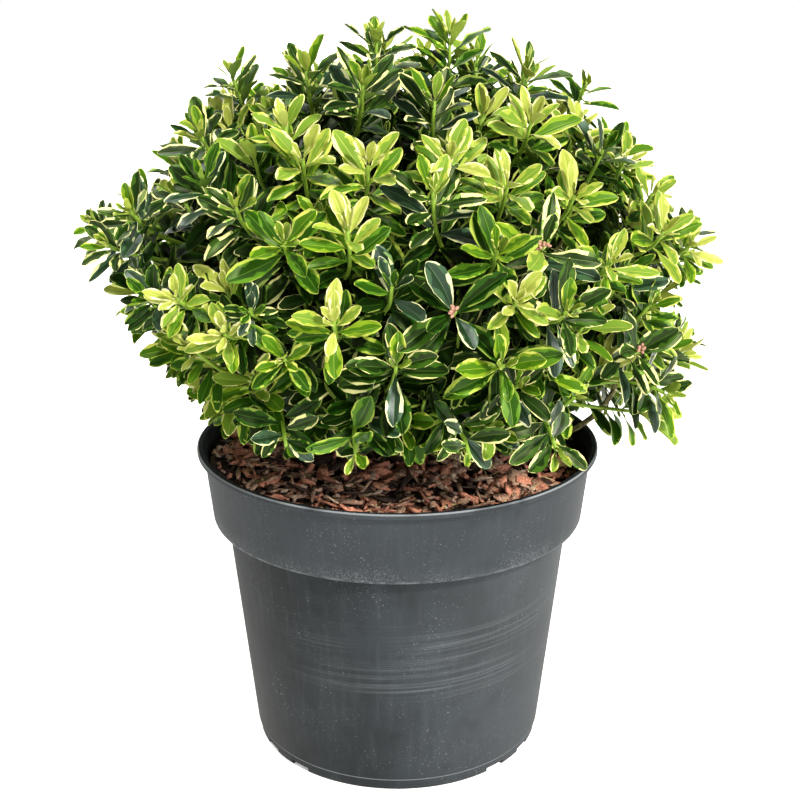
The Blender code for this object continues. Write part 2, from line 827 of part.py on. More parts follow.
def grow_mass(mass, masses, limb_trees, material):
    """Builds one mass: its stem is the base object, and all the rest is fused on to it."""
    rng = random.Random(f"{SEED} {mass.name}")
    fused = bpy.data.collections.new(mass.name)
    bpy.context.scene.collection.children.link(fused)
    pieces = []

    def add(kind, points, faces):
        piece = new_object(kind, points, faces)
        bpy.context.scene.collection.objects.unlink(piece)
        fused.objects.link(piece)
        pieces.append(piece)

    heart, core_points, core_faces = core_shape(mass, masses, limb_trees, rng)
    heading = mass.limb.heading()
    root = mass.limb.tip() + heading * GAP
    stem_controls = [root, root + heading * 0.012, heart]
    stem_path = curve_points(stem_controls, 4)
    stem_points, stem_faces = tube(stem_path, [STEM_RADIUS] * 4, 3, first=heading)
    stem = new_object(mass.name, stem_points, stem_faces, material)
    add("core", core_points, core_faces)
    core_tree = tree_of(core_points, core_faces)

    shoots = []
    for direction in mass.shoots:
        controls = shoot_path(heart, direction)
        path = curve_points(controls, SHOOT_RINGS)
        steps = SHOOT_RINGS - 1
        radii = [
            STEM_RADIUS + (SHOOT_RADIUS - STEM_RADIUS) * ring / steps
            for ring in range(SHOOT_RINGS)
        ]
        twig_points, twig_faces = tube(path, radii, 3)
        tree = tree_of(twig_points, twig_faces)
        inside = all(
            in_own_space(mass, masses, point, CELL_MARGIN) for point in twig_points[3:]
        )
        if inside and not any(tree.overlap(other) for other in limb_trees):
            add("twig", twig_points, twig_faces)
            shoots.append((controls, tree))

    leaf_trees = []
    for controls, own_tree in shoots:
        other_twigs = [tree for _, tree in shoots if tree is not own_tree]
        turn = rng.uniform(0.0, math.pi)
        for pair, distance in enumerate(PAIR_DISTANCES):
            knot, along = place_on(controls, distance)
            across = along.orthogonal().normalized()
            spin = Matrix.Rotation(turn + pair * math.pi / 2.0, 3, along)
            trees = limb_trees + leaf_trees + other_twigs + [core_tree]
            for side in (-1.0, 1.0):
                extra = rng.uniform(-PAIR_SPREAD_RANGE, PAIR_SPREAD_RANGE)
                spread = math.radians(PAIR_SPREADS[pair] + extra)
                out = (spin @ across) * side
                pointing = along * math.cos(spread) + out * math.sin(spread)
                seat = knot - along * (PAIR_SEAT + PAIR_STAGGER * side)
                shape = grow_leaf(
                    mass, masses, seat, pointing.normalized(), along, trees
                )
                leaf_tree = tree_of(*shape) if shape else None
                if leaf_tree and leaf_tree.overlap(own_tree):
                    add("leaf", *shape)
                    leaf_trees.append(leaf_tree)

    apply_boolean(stem, "UNION", collection=fused)
    for piece in pieces:
        remove_object(piece)
    bpy.data.collections.remove(fused)


def make_plant():
    bark = make_material("spindle_bark", (0.150, 0.160, 0.060), 0.7)
    foliage = make_material("spindle_foliage", (0.120, 0.230, 0.050), 0.5)
    rng = random.Random(SEED)
    skirt = ring_of_masses("skirt", RING_SKIRT, rng)
    middle = ring_of_masses("middle", RING_MIDDLE, rng)
    upper = ring_of_masses("upper", RING_UPPER, rng)
    top = Mass("foliage_top", direction_of(math.radians(88.0), 0.0))
    masses = skirt + middle + upper + [top]

    trunk = make_trunk(bark)
    limbs = plan_limbs(skirt, middle, upper, top)
    make_limbs(limbs, trunk, bark)
    limb_trees = [tree_of(*limb.mesh(extra=2.0 * GAP)) for limb in limbs]

    for direction in shoot_directions():
        nearest = max(masses, key=lambda mass: mass.direction.dot(direction))
        nearest.shoots.append(direction)
    for mass in masses:
        grow_mass(mass, masses, limb_trees, foliage)


clear_scene()
make_pot()
make_mulch()
make_plant()
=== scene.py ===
import math
import random

import bmesh
import bpy
import numpy as np
from mathutils import Matrix, Vector, noise


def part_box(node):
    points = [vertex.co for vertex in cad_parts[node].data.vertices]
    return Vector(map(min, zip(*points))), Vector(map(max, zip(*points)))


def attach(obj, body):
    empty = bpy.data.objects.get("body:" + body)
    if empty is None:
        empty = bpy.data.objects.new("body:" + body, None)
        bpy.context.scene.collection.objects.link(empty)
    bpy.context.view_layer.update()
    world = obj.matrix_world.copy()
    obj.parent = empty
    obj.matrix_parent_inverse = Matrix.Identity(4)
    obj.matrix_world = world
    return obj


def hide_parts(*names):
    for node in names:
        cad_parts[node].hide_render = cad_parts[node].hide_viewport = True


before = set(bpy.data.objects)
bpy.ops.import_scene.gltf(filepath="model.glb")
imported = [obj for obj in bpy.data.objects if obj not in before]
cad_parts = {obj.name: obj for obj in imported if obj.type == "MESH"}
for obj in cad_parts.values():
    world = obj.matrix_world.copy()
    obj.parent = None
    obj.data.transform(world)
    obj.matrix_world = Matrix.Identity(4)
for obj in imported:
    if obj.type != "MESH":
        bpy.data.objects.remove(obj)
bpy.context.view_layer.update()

# The view: the camera stands just above the crown and looks down on the pot from the front.
# A hard lamp at the upper right gives the sunny side, three softer ones fill the shade from
# above on the left, from low in front and from behind, and the floor is a plain white sweep.
CAMERA_PLACE = (0.0018, -0.941, 0.5605)
CAMERA_PITCH = 0.321
CAMERA_LENS = 63.9
SENSOR_WIDTH = 36.0
FLOOR_SIZE = 14.0
PAPER_GLOW = 0.36

bpy.ops.object.select_all(action="DESELECT")
bpy.ops.object.camera_add(
    location=CAMERA_PLACE, rotation=(math.pi / 2.0 - CAMERA_PITCH, 0.0, 0.0)
)
camera = bpy.context.object
camera.data.lens = CAMERA_LENS
camera.data.sensor_width = SENSOR_WIDTH
bpy.context.scene.camera = camera
bpy.context.scene.view_settings.view_transform = "Standard"


def linear(color):
    """The linear red, green and blue of an sRGB hex colour."""
    parts = [int(color[place : place + 2], 16) / 255.0 for place in (1, 3, 5)]
    return tuple(
        part / 12.92 if part <= 0.04045 else ((part + 0.055) / 1.055) ** 2.4
        for part in parts
    )


def add_lamp(name, place, strength, softness, color):
    """A far soft lamp that shines from a place towards the pot."""
    bpy.ops.object.light_add(type="SUN", location=place)
    lamp = bpy.context.object
    lamp.name = name
    lamp.rotation_euler = Vector(place).to_track_quat("Z", "Y").to_euler()
    lamp.data.energy = strength
    lamp.data.angle = math.radians(softness)
    lamp.data.color = linear(color)


add_lamp("window", (1.00, -1.50, 1.65), 4.4, 6.0, "#fff8ee")
add_lamp("left_fill", (-0.72, -0.22, 2.10), 2.7, 12.0, "#fffdf4")
add_lamp("front_fill", (1.10, -1.50, 0.78), 2.7, 34.0, "#ffffff")
add_lamp("back_fill", (-0.6, 1.5, 1.6), 1.2, 30.0, "#ffffff")

world = bpy.data.worlds.new("studio")
bpy.context.scene.world = world
world.use_nodes = True
backdrop = world.node_tree.nodes["Background"]
backdrop.inputs["Color"].default_value = (*linear("#ffffff"), 1.0)
# The backdrop itself is white, and gives the room only a soft part of its light
seen = world.node_tree.nodes.new("ShaderNodeLightPath")
level = world.node_tree.nodes.new("ShaderNodeMapRange")
level.inputs["To Min"].default_value = 0.20
level.inputs["To Max"].default_value = 1.0
world.node_tree.links.new(seen.outputs["Is Camera Ray"], level.inputs["Value"])
world.node_tree.links.new(level.outputs["Result"], backdrop.inputs["Strength"])

bpy.ops.mesh.primitive_plane_add(size=FLOOR_SIZE, location=(0.0, 0.0, 0.0))
floor = bpy.context.object
floor.name = "studio_floor"
paper = bpy.data.materials.new("studio_paper")
paper.use_nodes = True
paper_shader = paper.node_tree.nodes["Principled BSDF"]
paper_shader.inputs["Base Color"].default_value = (*linear("#f4f4f2"), 1.0)
paper_shader.inputs["Roughness"].default_value = 0.9
paper_shader.inputs["Emission Color"].default_value = (*linear("#ffffff"), 1.0)
paper_shader.inputs["Emission Strength"].default_value = PAPER_GLOW
floor.data.materials.append(paper)

# The pot: a 10 litre nursery container, injection moulded in one shot of dark grey
# polypropylene, with a stiff collar, an L-shaped lip, a step at its foot and drain notches.
# Handling leaves it matt, with fine scuffs round the body and dust on its ledges.
RIM_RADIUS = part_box("pot")[1].x
POT_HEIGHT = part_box("pot")[1].z
LIP_HEIGHT = 0.0038
LIP_WIDTH = 0.0038
COLLAR_TOP_RADIUS = 0.1354
COLLAR_FOOT_RADIUS = 0.1304
COLLAR_FOOT_HEIGHT = 0.1675
BODY_TOP_RADIUS = 0.1205
FOOT_STEP_RADIUS = 0.1038
FOOT_STEP_HEIGHT = 0.0087
BASE_RADIUS = 0.1022
WALL = 0.0021
FLOOR_THICKNESS = 0.0026
POT_SEGMENTS = 240
POT_EDGE = 0.0005
NOTCH_HEIGHT = 0.0038
NOTCH_WIDTH = 0.016
NOTCH_DEPTH = 0.011
NOTCH_FIRST = math.radians(42.0)
NOTCH_STEP = math.radians(19.0)
NOTCHES_A_SIDE = 6


def add_node(tree, kind, settings=None, links=None):
    """Adds one shader node. Settings are its properties or input values, links its sources."""
    made = tree.nodes.new(kind)
    for name, value in (settings or {}).items():
        if isinstance(name, str) and hasattr(made, name):
            setattr(made, name, value)
        else:
            made.inputs[name].default_value = value
    for socket, source in (links or {}).items():
        tree.links.new(source, made.inputs[socket])
    return made


def start_material(name, color, roughness, specular=0.5):
    """A material with its shader's own values set, and its node tree to go on with."""
    material = bpy.data.materials.new(name)
    material.use_nodes = True
    tree = material.node_tree
    shader = tree.nodes["Principled BSDF"]
    shader.inputs["Base Color"].default_value = (*linear(color), 1.0)
    shader.inputs["Roughness"].default_value = roughness
    shader.inputs["Specular IOR Level"].default_value = specular
    material.diffuse_color = (*linear(color), 1.0)
    return material, tree, shader


def mix_colors(tree, factor, first, second):
    """Mixes two colours by a factor. Each is a socket or a hex colour."""
    mixed = add_node(tree, "ShaderNodeMix", {"data_type": "RGBA"}, {0: factor})
    for socket, value in ((6, first), (7, second)):
        if isinstance(value, str):
            mixed.inputs[socket].default_value = (*linear(value), 1.0)
        else:
            tree.links.new(value, mixed.inputs[socket])
    return mixed.outputs[2]


def ease(tree, value, low, high):
    """Rises from 0 to 1 as a value goes from low to high, which may be the lower one."""
    made = add_node(
        tree,
        "ShaderNodeMapRange",
        {"interpolation_type": "SMOOTHSTEP", 1: low, 2: high},
        {"Value": value},
    )
    return made.outputs["Result"]


def product(tree, *factors):
    """Multiplies sockets and numbers."""
    total = factors[0]
    for factor in factors[1:]:
        made = add_node(tree, "ShaderNodeMath", {"operation": "MULTIPLY"}, {0: total})
        if isinstance(factor, float):
            made.inputs[1].default_value = factor
        else:
            tree.links.new(factor, made.inputs[1])
        total = made.outputs[0]
    return total


def noise_at(tree, where, scale, detail, stretch=(1.0, 1.0, 1.0)):
    """Noise with a scale in waves a metre, stretched along the axes."""
    moved = add_node(tree, "ShaderNodeMapping", {"Scale": stretch}, {"Vector": where})
    made = add_node(
        tree,
        "ShaderNodeTexNoise",
        {"Scale": scale, "Detail": detail},
        {"Vector": moved.outputs["Vector"]},
    )
    return made.outputs["Fac"]


def bump(tree, shader, height, strength, distance, under=None):
    """Sets a relief on the shader, over another relief if there is one."""
    links = {"Height": height}
    if under:
        links["Normal"] = under
    made = add_node(
        tree, "ShaderNodeBump", {"Strength": strength, "Distance": distance}, links
    )
    tree.links.new(made.outputs["Normal"], shader.inputs["Normal"])
    return made.outputs["Normal"]


def pot_plastic():
    """Moulded polypropylene: matt blue-grey, worn in rings, dusty on its ledges, with painted shade
    at its left, painted light on its collar and right side, and a painted highlight and shade line
    on its lip.
    """
    material, tree, shader = start_material("moulded_polypropylene", "#232629", 0.60, 0.07)
    where = add_node(tree, "ShaderNodeTexCoord").outputs["Object"]
    place = add_node(tree, "ShaderNodeSeparateXYZ", links={"Vector": where})
    height = place.outputs["Z"]
    cloud = noise_at(tree, where, 14.0, 6.0)
    color = mix_colors(tree, ease(tree, cloud, 0.32, 0.68), "#1f2326", "#2b3034")
    stains = ease(tree, noise_at(tree, where, 70.0, 5.0), 0.50, 0.72)
    color = mix_colors(tree, product(tree, stains, 0.30), color, "#14181a")
    # Painted shade: the pot darkened towards near black on its left side
    painted_left_shade = product(tree, ease(tree, place.outputs["X"], 0.01, -0.12), 0.46)
    color = mix_colors(tree, painted_left_shade, color, "#0c0e10")
    # Painted light: the collar mixed lighter than the body, making up for the shade the crown casts
    # on it
    collar = ease(tree, height, COLLAR_FOOT_HEIGHT - 0.002, COLLAR_FOOT_HEIGHT + 0.001)
    color = mix_colors(tree, product(tree, collar, 0.34), color, "#3f4449")
    # Painted light: the body lighter towards its right, the side the window lamp shines on
    body = ease(tree, height, COLLAR_FOOT_HEIGHT + 0.001, COLLAR_FOOT_HEIGHT - 0.002)
    sunny_side = product(tree, ease(tree, place.outputs["X"], -0.03, 0.11), body, 0.20)
    color = mix_colors(tree, sunny_side, color, "#606468")
    streaks = noise_at(tree, where, 1.0, 4.0, (210.0, 210.0, 9.0))
    color = mix_colors(tree, product(tree, ease(tree, streaks, 0.46, 0.80), 0.14), color, "#484c50")

    # Rings rubbed round the body, where pots turn in each other in the stack
    tilted = add_node(tree, "ShaderNodeMapping", {"Rotation": (0.0, 0.035, 0.0)}, {0: where})
    along = tilted.outputs["Vector"]
    band = product(tree, ease(tree, height, 0.070, 0.082), ease(tree, height, 0.136, 0.118))
    worn = product(
        tree,
        band,
        ease(tree, place.outputs["X"], -0.105, 0.03),
        ease(tree, noise_at(tree, where, 1.0, 3.0, (9.0, 9.0, 45.0)), 0.38, 0.60),
    )
    lines = ease(tree, noise_at(tree, along, 1.0, 1.0, (4.0, 4.0, 620.0)), 0.56, 0.70)
    fine_lines = ease(tree, noise_at(tree, along, 1.0, 1.0, (7.0, 7.0, 1500.0)), 0.50, 0.75)
    color = mix_colors(tree, product(tree, worn, lines, 0.27), color, "#6a7074")
    color = mix_colors(tree, product(tree, worn, fine_lines, 0.40), color, "#5c6165")

    # Dust on the lower part of the collar, pale where the ledge is worn; on the lip a painted
    # highlight along its outer edge and a painted shade line just inside it, as in a groove
    dust = ease(tree, noise_at(tree, where, 900.0, 6.0), 0.44, 0.66)
    patches = ease(tree, noise_at(tree, where, 24.0, 3.0), 0.30, 0.58)
    ledge = product(
        tree,
        ease(tree, height, 0.184, 0.1675),
        ease(tree, height, 0.1664, 0.1672),
        dust,
        patches,
    )
    color = mix_colors(tree, product(tree, ledge, 0.46), color, "#6c7074")
    worn_edge = product(
        tree,
        ease(tree, height, COLLAR_FOOT_HEIGHT + 0.0034, COLLAR_FOOT_HEIGHT + 0.0018),
        ease(tree, height, COLLAR_FOOT_HEIGHT + 0.0006, COLLAR_FOOT_HEIGHT + 0.0014),
        ease(tree, noise_at(tree, where, 130.0, 6.0), 0.36, 0.74),
    )
    color = mix_colors(tree, product(tree, worn_edge, 0.46), color, "#74787c")
    flat = add_node(tree, "ShaderNodeVectorMath", {"operation": "MULTIPLY", 1: (1.0, 1.0, 0.0)})
    tree.links.new(where, flat.inputs[0])
    arm = add_node(tree, "ShaderNodeVectorMath", {"operation": "LENGTH"}, {0: flat.outputs[0]})
    radius = arm.outputs["Value"]
    # Painted highlight: a pale line along the lip's outer edge
    lip = ease(tree, height, POT_HEIGHT - 0.0012, POT_HEIGHT - 0.0004)
    painted_lip_highlight = ease(tree, radius, RIM_RADIUS - 0.0013, RIM_RADIUS - 0.0009)
    color = mix_colors(tree, product(tree, lip, painted_lip_highlight, 0.75), color, "#8a8f94")
    # Painted shade: a dark line on the flat top of the lip, just inside the highlight, as in a
    # groove
    painted_groove_shade = product(
        tree,
        ease(tree, radius, RIM_RADIUS - 0.0012, RIM_RADIUS - 0.0016),
        ease(tree, radius, RIM_RADIUS - 0.0030, RIM_RADIUS - 0.0026),
    )
    color = mix_colors(tree, product(tree, lip, painted_groove_shade, 0.70), color, "#0c0e10")
    foot_line = product(
        tree,
        ease(tree, height, FOOT_STEP_HEIGHT - 0.0009, FOOT_STEP_HEIGHT - 0.0001),
        ease(tree, height, FOOT_STEP_HEIGHT + 0.0009, FOOT_STEP_HEIGHT + 0.0001),
    )
    color = mix_colors(tree, product(tree, foot_line, 0.55), color, "#80858a")

    # Specks of lime and compost, about a millimetre across, gathered in patches
    speckled = product(
        tree,
        ease(tree, noise_at(tree, where, 900.0, 2.0), 0.655, 0.73),
        ease(tree, noise_at(tree, where, 26.0, 4.0), 0.40, 0.62),
    )
    color = mix_colors(tree, product(tree, speckled, 0.50), color, "#84878a")
    tree.links.new(color, shader.inputs["Base Color"])
    rough = add_node(tree, "ShaderNodeMapRange", {3: 0.52, 4: 0.68}, {"Value": cloud})
    tree.links.new(rough.outputs["Result"], shader.inputs["Roughness"])

    # The mould's spark-eroded grain, drawn a little coarser than the real 0.1 mm
    bump(tree, shader, noise_at(tree, where, 1300.0, 4.0), 0.35, 0.00022)
    return material


def start_ring(name, sides, radius, height):
    """A new object of one open ring of points, in edit mode with all of them selected."""
    bpy.ops.object.select_all(action="DESELECT")
    bpy.ops.mesh.primitive_circle_add(
        vertices=sides, radius=radius, fill_type="NOTHING", location=(0.0, 0.0, height)
    )
    bpy.ops.object.transform_apply(location=True, rotation=True, scale=True)
    ring = bpy.context.object
    ring.name = name
    bpy.ops.object.mode_set(mode="EDIT")
    bpy.ops.mesh.select_all(action="SELECT")
    return ring


def close_loop_at(height, radius):
    """Selects the ring of points at a height and radius and fills it with one face."""
    bpy.ops.object.mode_set(mode="OBJECT")
    for point in bpy.context.object.data.vertices:
        flat = math.hypot(point.co.x, point.co.y)
        point.select = abs(point.co.z - height) < 1e-5 and abs(flat - radius) < 1e-5
    bpy.ops.object.mode_set(mode="EDIT")
    bpy.ops.mesh.select_mode(type="VERT")
    bpy.ops.mesh.edge_face_add()


def raise_rings(profile):
    """Draws the selected ring up through the (radius, height) points of a profile."""
    for (radius, height), (wider, higher) in zip(profile, profile[1:]):
        bpy.ops.mesh.extrude_edges_move(
            TRANSFORM_OT_translate={"value": (0.0, 0.0, higher - height)}
        )
        grow = wider / radius
        bpy.ops.transform.resize(value=(grow, grow, 1.0), center_override=(0.0, 0.0, 0.0))


lip_foot = POT_HEIGHT - LIP_HEIGHT
pot_profile = [
    (BASE_RADIUS - 0.0012, 0.0),
    (BASE_RADIUS, 0.0014),
    (FOOT_STEP_RADIUS - 0.0007, FOOT_STEP_HEIGHT - 0.0005),
    (FOOT_STEP_RADIUS, FOOT_STEP_HEIGHT),
    (BODY_TOP_RADIUS, COLLAR_FOOT_HEIGHT - 0.0022),
    (BODY_TOP_RADIUS + 0.0014, COLLAR_FOOT_HEIGHT - 0.0004),
    (COLLAR_FOOT_RADIUS - 0.0024, COLLAR_FOOT_HEIGHT + 0.0002),
    (COLLAR_FOOT_RADIUS - 0.0006, COLLAR_FOOT_HEIGHT + 0.0009),
    (COLLAR_FOOT_RADIUS, COLLAR_FOOT_HEIGHT + 0.0026),
    (COLLAR_TOP_RADIUS, lip_foot - 0.0006),
    (RIM_RADIUS - 0.0006, lip_foot),
    (RIM_RADIUS, lip_foot + 0.0006),
    (RIM_RADIUS, POT_HEIGHT - 0.0008),
    (RIM_RADIUS - 0.0008, POT_HEIGHT),
    (RIM_RADIUS - LIP_WIDTH, POT_HEIGHT),
    (COLLAR_TOP_RADIUS - WALL, lip_foot - 0.001),
    (COLLAR_FOOT_RADIUS - WALL, COLLAR_FOOT_HEIGHT + 0.0034),
    (BODY_TOP_RADIUS - WALL, COLLAR_FOOT_HEIGHT + 0.0016),
    (FOOT_STEP_RADIUS - WALL, FOOT_STEP_HEIGHT),
    (BASE_RADIUS - WALL, FLOOR_THICKNESS),
]
pot = start_ring("pot_moulding", POT_SEGMENTS, pot_profile[0][0], 0.0)
raise_rings(pot_profile)
close_loop_at(FLOOR_THICKNESS, BASE_RADIUS - WALL)
close_loop_at(0.0, BASE_RADIUS - 0.0012)
bpy.ops.mesh.select_all(action="SELECT")
bpy.ops.mesh.normals_make_consistent(inside=False)
bpy.ops.object.mode_set(mode="OBJECT")
bpy.ops.object.modifier_add(type="BEVEL")
pot.modifiers["Bevel"].width = POT_EDGE
pot.modifiers["Bevel"].segments = 2
pot.modifiers["Bevel"].limit_method = "ANGLE"
pot.modifiers["Bevel"].angle_limit = math.radians(28.0)
bpy.ops.object.modifier_apply(modifier="Bevel")

# Drain notches round the foot, left and right of a clear front and back
notch_cutters = []
for side in (-1.0, 1.0):
    for index in range(NOTCHES_A_SIDE):
        azimuth = -math.pi / 2.0 + side * (NOTCH_FIRST + index * NOTCH_STEP)
        middle = BASE_RADIUS - NOTCH_DEPTH / 2.0 + 0.001
        bpy.ops.object.select_all(action="DESELECT")
        bpy.ops.mesh.primitive_cube_add(size=1.0)
        cutter = bpy.context.object
        turn = Matrix.Rotation(azimuth, 4, "Z") @ Matrix.Translation((middle, 0.0, 0.0))
        shape = Matrix.Diagonal((NOTCH_DEPTH, NOTCH_WIDTH, 2.0 * NOTCH_HEIGHT, 1.0))
        cutter.data.transform(turn @ shape)
        notch_cutters.append(cutter)
for cutter in notch_cutters:
    cutter.select_set(True)
bpy.ops.object.join()
notch_cutter = bpy.context.object
bpy.ops.object.select_all(action="DESELECT")
bpy.context.view_layer.objects.active = pot
pot.select_set(True)
bpy.ops.object.modifier_add(type="BOOLEAN")
pot.modifiers["Boolean"].operation = "DIFFERENCE"
pot.modifiers["Boolean"].object = notch_cutter
bpy.ops.object.modifier_apply(modifier="Boolean")
bpy.data.objects.remove(notch_cutter, do_unlink=True)
bpy.ops.object.shade_smooth_by_angle(angle=math.radians(32.0))
pot.data.materials.clear()
pot.data.materials.append(pot_plastic())
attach(pot, "root")
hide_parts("pot")

# The filling: moist compost under a loose layer of bark mulch. The bed is one closed plug
# that fills the pot, uneven on top and heaped at the left wall, flat round the trunk.
MULCH_HEIGHT = 0.204
MULCH_HEAP = 0.005
MULCH_LUMP = 0.0022
BED_SEGMENTS = 120
BED_RINGS = 34
BED_GAP = 0.0004
BED_CRUMB = 0.0011


def mulch_lift(x, y):
    """Height of the mulch above its level, as on the solid under it."""
    away = min(1.0, max(0.0, (math.hypot(x, y) - 0.03) / 0.04))
    lump = noise.noise(Vector((x, y, 0.0)) * 60.0 + Vector((3.1, 8.7, 1.3)))
    heap = max(0.0, -x / RIM_RADIUS) ** 2
    return away * (MULCH_LUMP * lump + MULCH_HEAP * heap)


def collar_inside(height):
    """Radius of the collar's inner wall at a height."""
    low = COLLAR_FOOT_HEIGHT + 0.0034
    share = (height - low) / (lip_foot - 0.001 - low)
    near = COLLAR_FOOT_RADIUS - WALL
    return near + share * (COLLAR_TOP_RADIUS - COLLAR_FOOT_RADIUS)


def close_underneath(piece, walls):
    """Draws a piece's open edge down through (radius, height) rings and closes the last."""
    work = bmesh.new()
    work.from_mesh(piece.data)
    edge_loop = [edge for edge in work.edges if edge.is_boundary]
    for radius, height in walls:
        drawn = bmesh.ops.extrude_edge_only(work, edges=edge_loop)["geom"]
        edge_loop = [item for item in drawn if isinstance(item, bmesh.types.BMEdge)]
        for point in {point for edge in edge_loop for point in edge.verts}:
            flat = Vector((point.co.x, point.co.y)).normalized() * radius
            point.co = Vector((flat.x, flat.y, height))
    bmesh.ops.edgeloop_fill(work, edges=edge_loop)
    bmesh.ops.recalc_face_normals(work, faces=work.faces)
    work.to_mesh(piece.data)
    work.free()
    piece.data.shade_smooth()


bark_soil, soil_tree, soil_shader = start_material("moist_compost", "#2a1610", 0.92, 0.3)
soil_where = add_node(soil_tree, "ShaderNodeTexCoord").outputs["Object"]
crumbs = noise_at(soil_tree, soil_where, 240.0, 6.0)
soil_tone = mix_colors(soil_tree, ease(soil_tree, crumbs, 0.35, 0.70), "#140b08", "#452b1f")
soil_tree.links.new(soil_tone, soil_shader.inputs["Base Color"])
bump(soil_tree, soil_shader, crumbs, 0.9, 0.0012)

bed_edge = collar_inside(MULCH_HEIGHT) - BED_GAP
bed = start_ring("mulch_bed", BED_SEGMENTS, bed_edge, MULCH_HEIGHT)
for ring in range(BED_RINGS):
    inner = 1.0 - (ring + 1) / (BED_RINGS + 1)
    outer = 1.0 - ring / (BED_RINGS + 1)
    bpy.ops.mesh.extrude_edges_move(TRANSFORM_OT_translate={"value": (0.0, 0.0, 0.0)})
    bpy.ops.transform.resize(
        value=(inner / outer, inner / outer, 1.0), center_override=(0.0, 0.0, MULCH_HEIGHT)
    )
bpy.ops.mesh.edge_face_add()
bpy.ops.object.mode_set(mode="OBJECT")
for point in bed.data.vertices:
    crumb = noise.noise(point.co * 170.0) + 0.6 * noise.noise(point.co * 420.0)
    still = min(1.0, (bed_edge - math.hypot(point.co.x, point.co.y)) / 0.003)
    point.co.z += mulch_lift(point.co.x, point.co.y) + BED_CRUMB * crumb * still
bed_walls = [
    (collar_inside(COLLAR_FOOT_HEIGHT + 0.004) - BED_GAP, COLLAR_FOOT_HEIGHT + 0.004),
    (BODY_TOP_RADIUS - WALL - BED_GAP, COLLAR_FOOT_HEIGHT + 0.002),
    (FOOT_STEP_RADIUS - WALL - BED_GAP, FOOT_STEP_HEIGHT),
    (BASE_RADIUS - WALL - NOTCH_DEPTH, NOTCH_HEIGHT + BED_GAP),
]
close_underneath(bed, bed_walls)
bed.data.materials.append(bark_soil)
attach(bed, "root")
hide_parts("compost_and_mulch")

# The mulch on top: shredded pine bark in flat flakes of 1 to 3 cm and crumbs between them,
# red-brown where it is freshly broken and near black where it has rotted, lying loose and
# crossed on the bed, with a few straws among them.
CHIP_SEED = 11
CHIP_SIDES = 7
CHIP_SIZES = {
    # count, length, width as a share of it, thickness, tilt in radians
    "slab": (46, (0.018, 0.028), (0.45, 0.75), (0.0016, 0.0034), 0.50),
    "flake": (430, (0.010, 0.022), (0.28, 0.66), (0.0010, 0.0026), 0.55),
    "shred": (520, (0.012, 0.030), (0.08, 0.20), (0.0008, 0.0020), 0.42),
    "crumb": (1200, (0.003, 0.008), (0.40, 0.85), (0.0010, 0.0030), 0.70),
    "straw": (60, (0.012, 0.030), (0.035, 0.060), (0.0005, 0.0009), 0.22),
}
CHIP_LIFT = (0.0006, 0.0060)
CHIP_TONES = {
    # darkest and lightest tone, and share of the flakes and crumbs
    "bark_red": ("#945844", "#d4967a", 0.39),
    "bark_brown": ("#7e5b49", "#c09e86", 0.30),
    "bark_dark": ("#1e1410", "#463329", 0.26),
    "bark_pale": ("#9c7e68", "#d6bea6", 0.05),
    "straw": ("#b09a64", "#d8c793", 0.0),
}


def bark_material(name, dark, light):
    """Broken bark: dry and fibrous, with a dull face and paler torn fibres."""
    material, tree, shader = start_material(name, dark, 0.75, 0.3)
    where = add_node(tree, "ShaderNodeTexCoord").outputs["Object"]
    fibre = noise_at(tree, where, 700.0, 5.0, (1.0, 0.4, 2.0))
    tone = mix_colors(tree, ease(tree, fibre, 0.32, 0.68), dark, light)
    tree.links.new(tone, shader.inputs["Base Color"])
    bump(tree, shader, fibre, 0.8, 0.0007)
    return material


def joined_mesh(name, points, corners, counts, slots, materials, smooth=True):
    """One object from arrays: points, face corners in a row, corners a face and slots."""
    mesh = bpy.data.meshes.new(name)
    mesh.vertices.add(len(points))
    mesh.vertices.foreach_set("co", np.asarray(points, np.float32).ravel())
    mesh.loops.add(len(corners))
    mesh.loops.foreach_set("vertex_index", np.asarray(corners, np.int32))
    starts = np.concatenate(([0], np.cumsum(counts)[:-1])).astype(np.int32)
    mesh.polygons.add(len(counts))
    mesh.polygons.foreach_set("loop_start", starts)
    mesh.polygons.foreach_set("material_index", np.asarray(slots, np.int32))
    for material in materials:
        mesh.materials.append(material)
    mesh.update(calc_edges=True)
    mesh.validate()
    if smooth:
        mesh.shade_smooth()
    piece = bpy.data.objects.new(name, mesh)
    bpy.context.scene.collection.objects.link(piece)
    return piece


def chip_arrays(rng, length, width, thick, slot):
    """A flat flake with a torn outline about the origin, long in X and warped along it."""
    points = []
    outs = [rng.uniform(0.72, 1.18) for _ in range(CHIP_SIDES)]
    for level in (-0.5, 0.5):
        for corner in range(CHIP_SIDES):
            angle = 2.0 * math.pi * (corner + 0.3 * math.sin(corner * 2.1)) / CHIP_SIDES
            out = outs[corner] * rng.uniform(0.92, 1.06)
            x = math.cos(angle) * length * 0.5 * out
            y = math.sin(angle) * width * 0.5 * out
            warp = 0.14 * length * (x / length) ** 2
            points.append((x, y, level * thick * rng.uniform(0.5, 1.3) + warp))
    low = list(range(CHIP_SIDES))
    corners = low[::-1] + [corner + CHIP_SIDES for corner in low]
    counts = [CHIP_SIDES, CHIP_SIDES]
    for corner in low:
        after = (corner + 1) % CHIP_SIDES
        corners += [corner, after, after + CHIP_SIDES, corner + CHIP_SIDES]
        counts.append(4)
    return np.array(points), np.array(corners), counts, [slot] * len(counts)


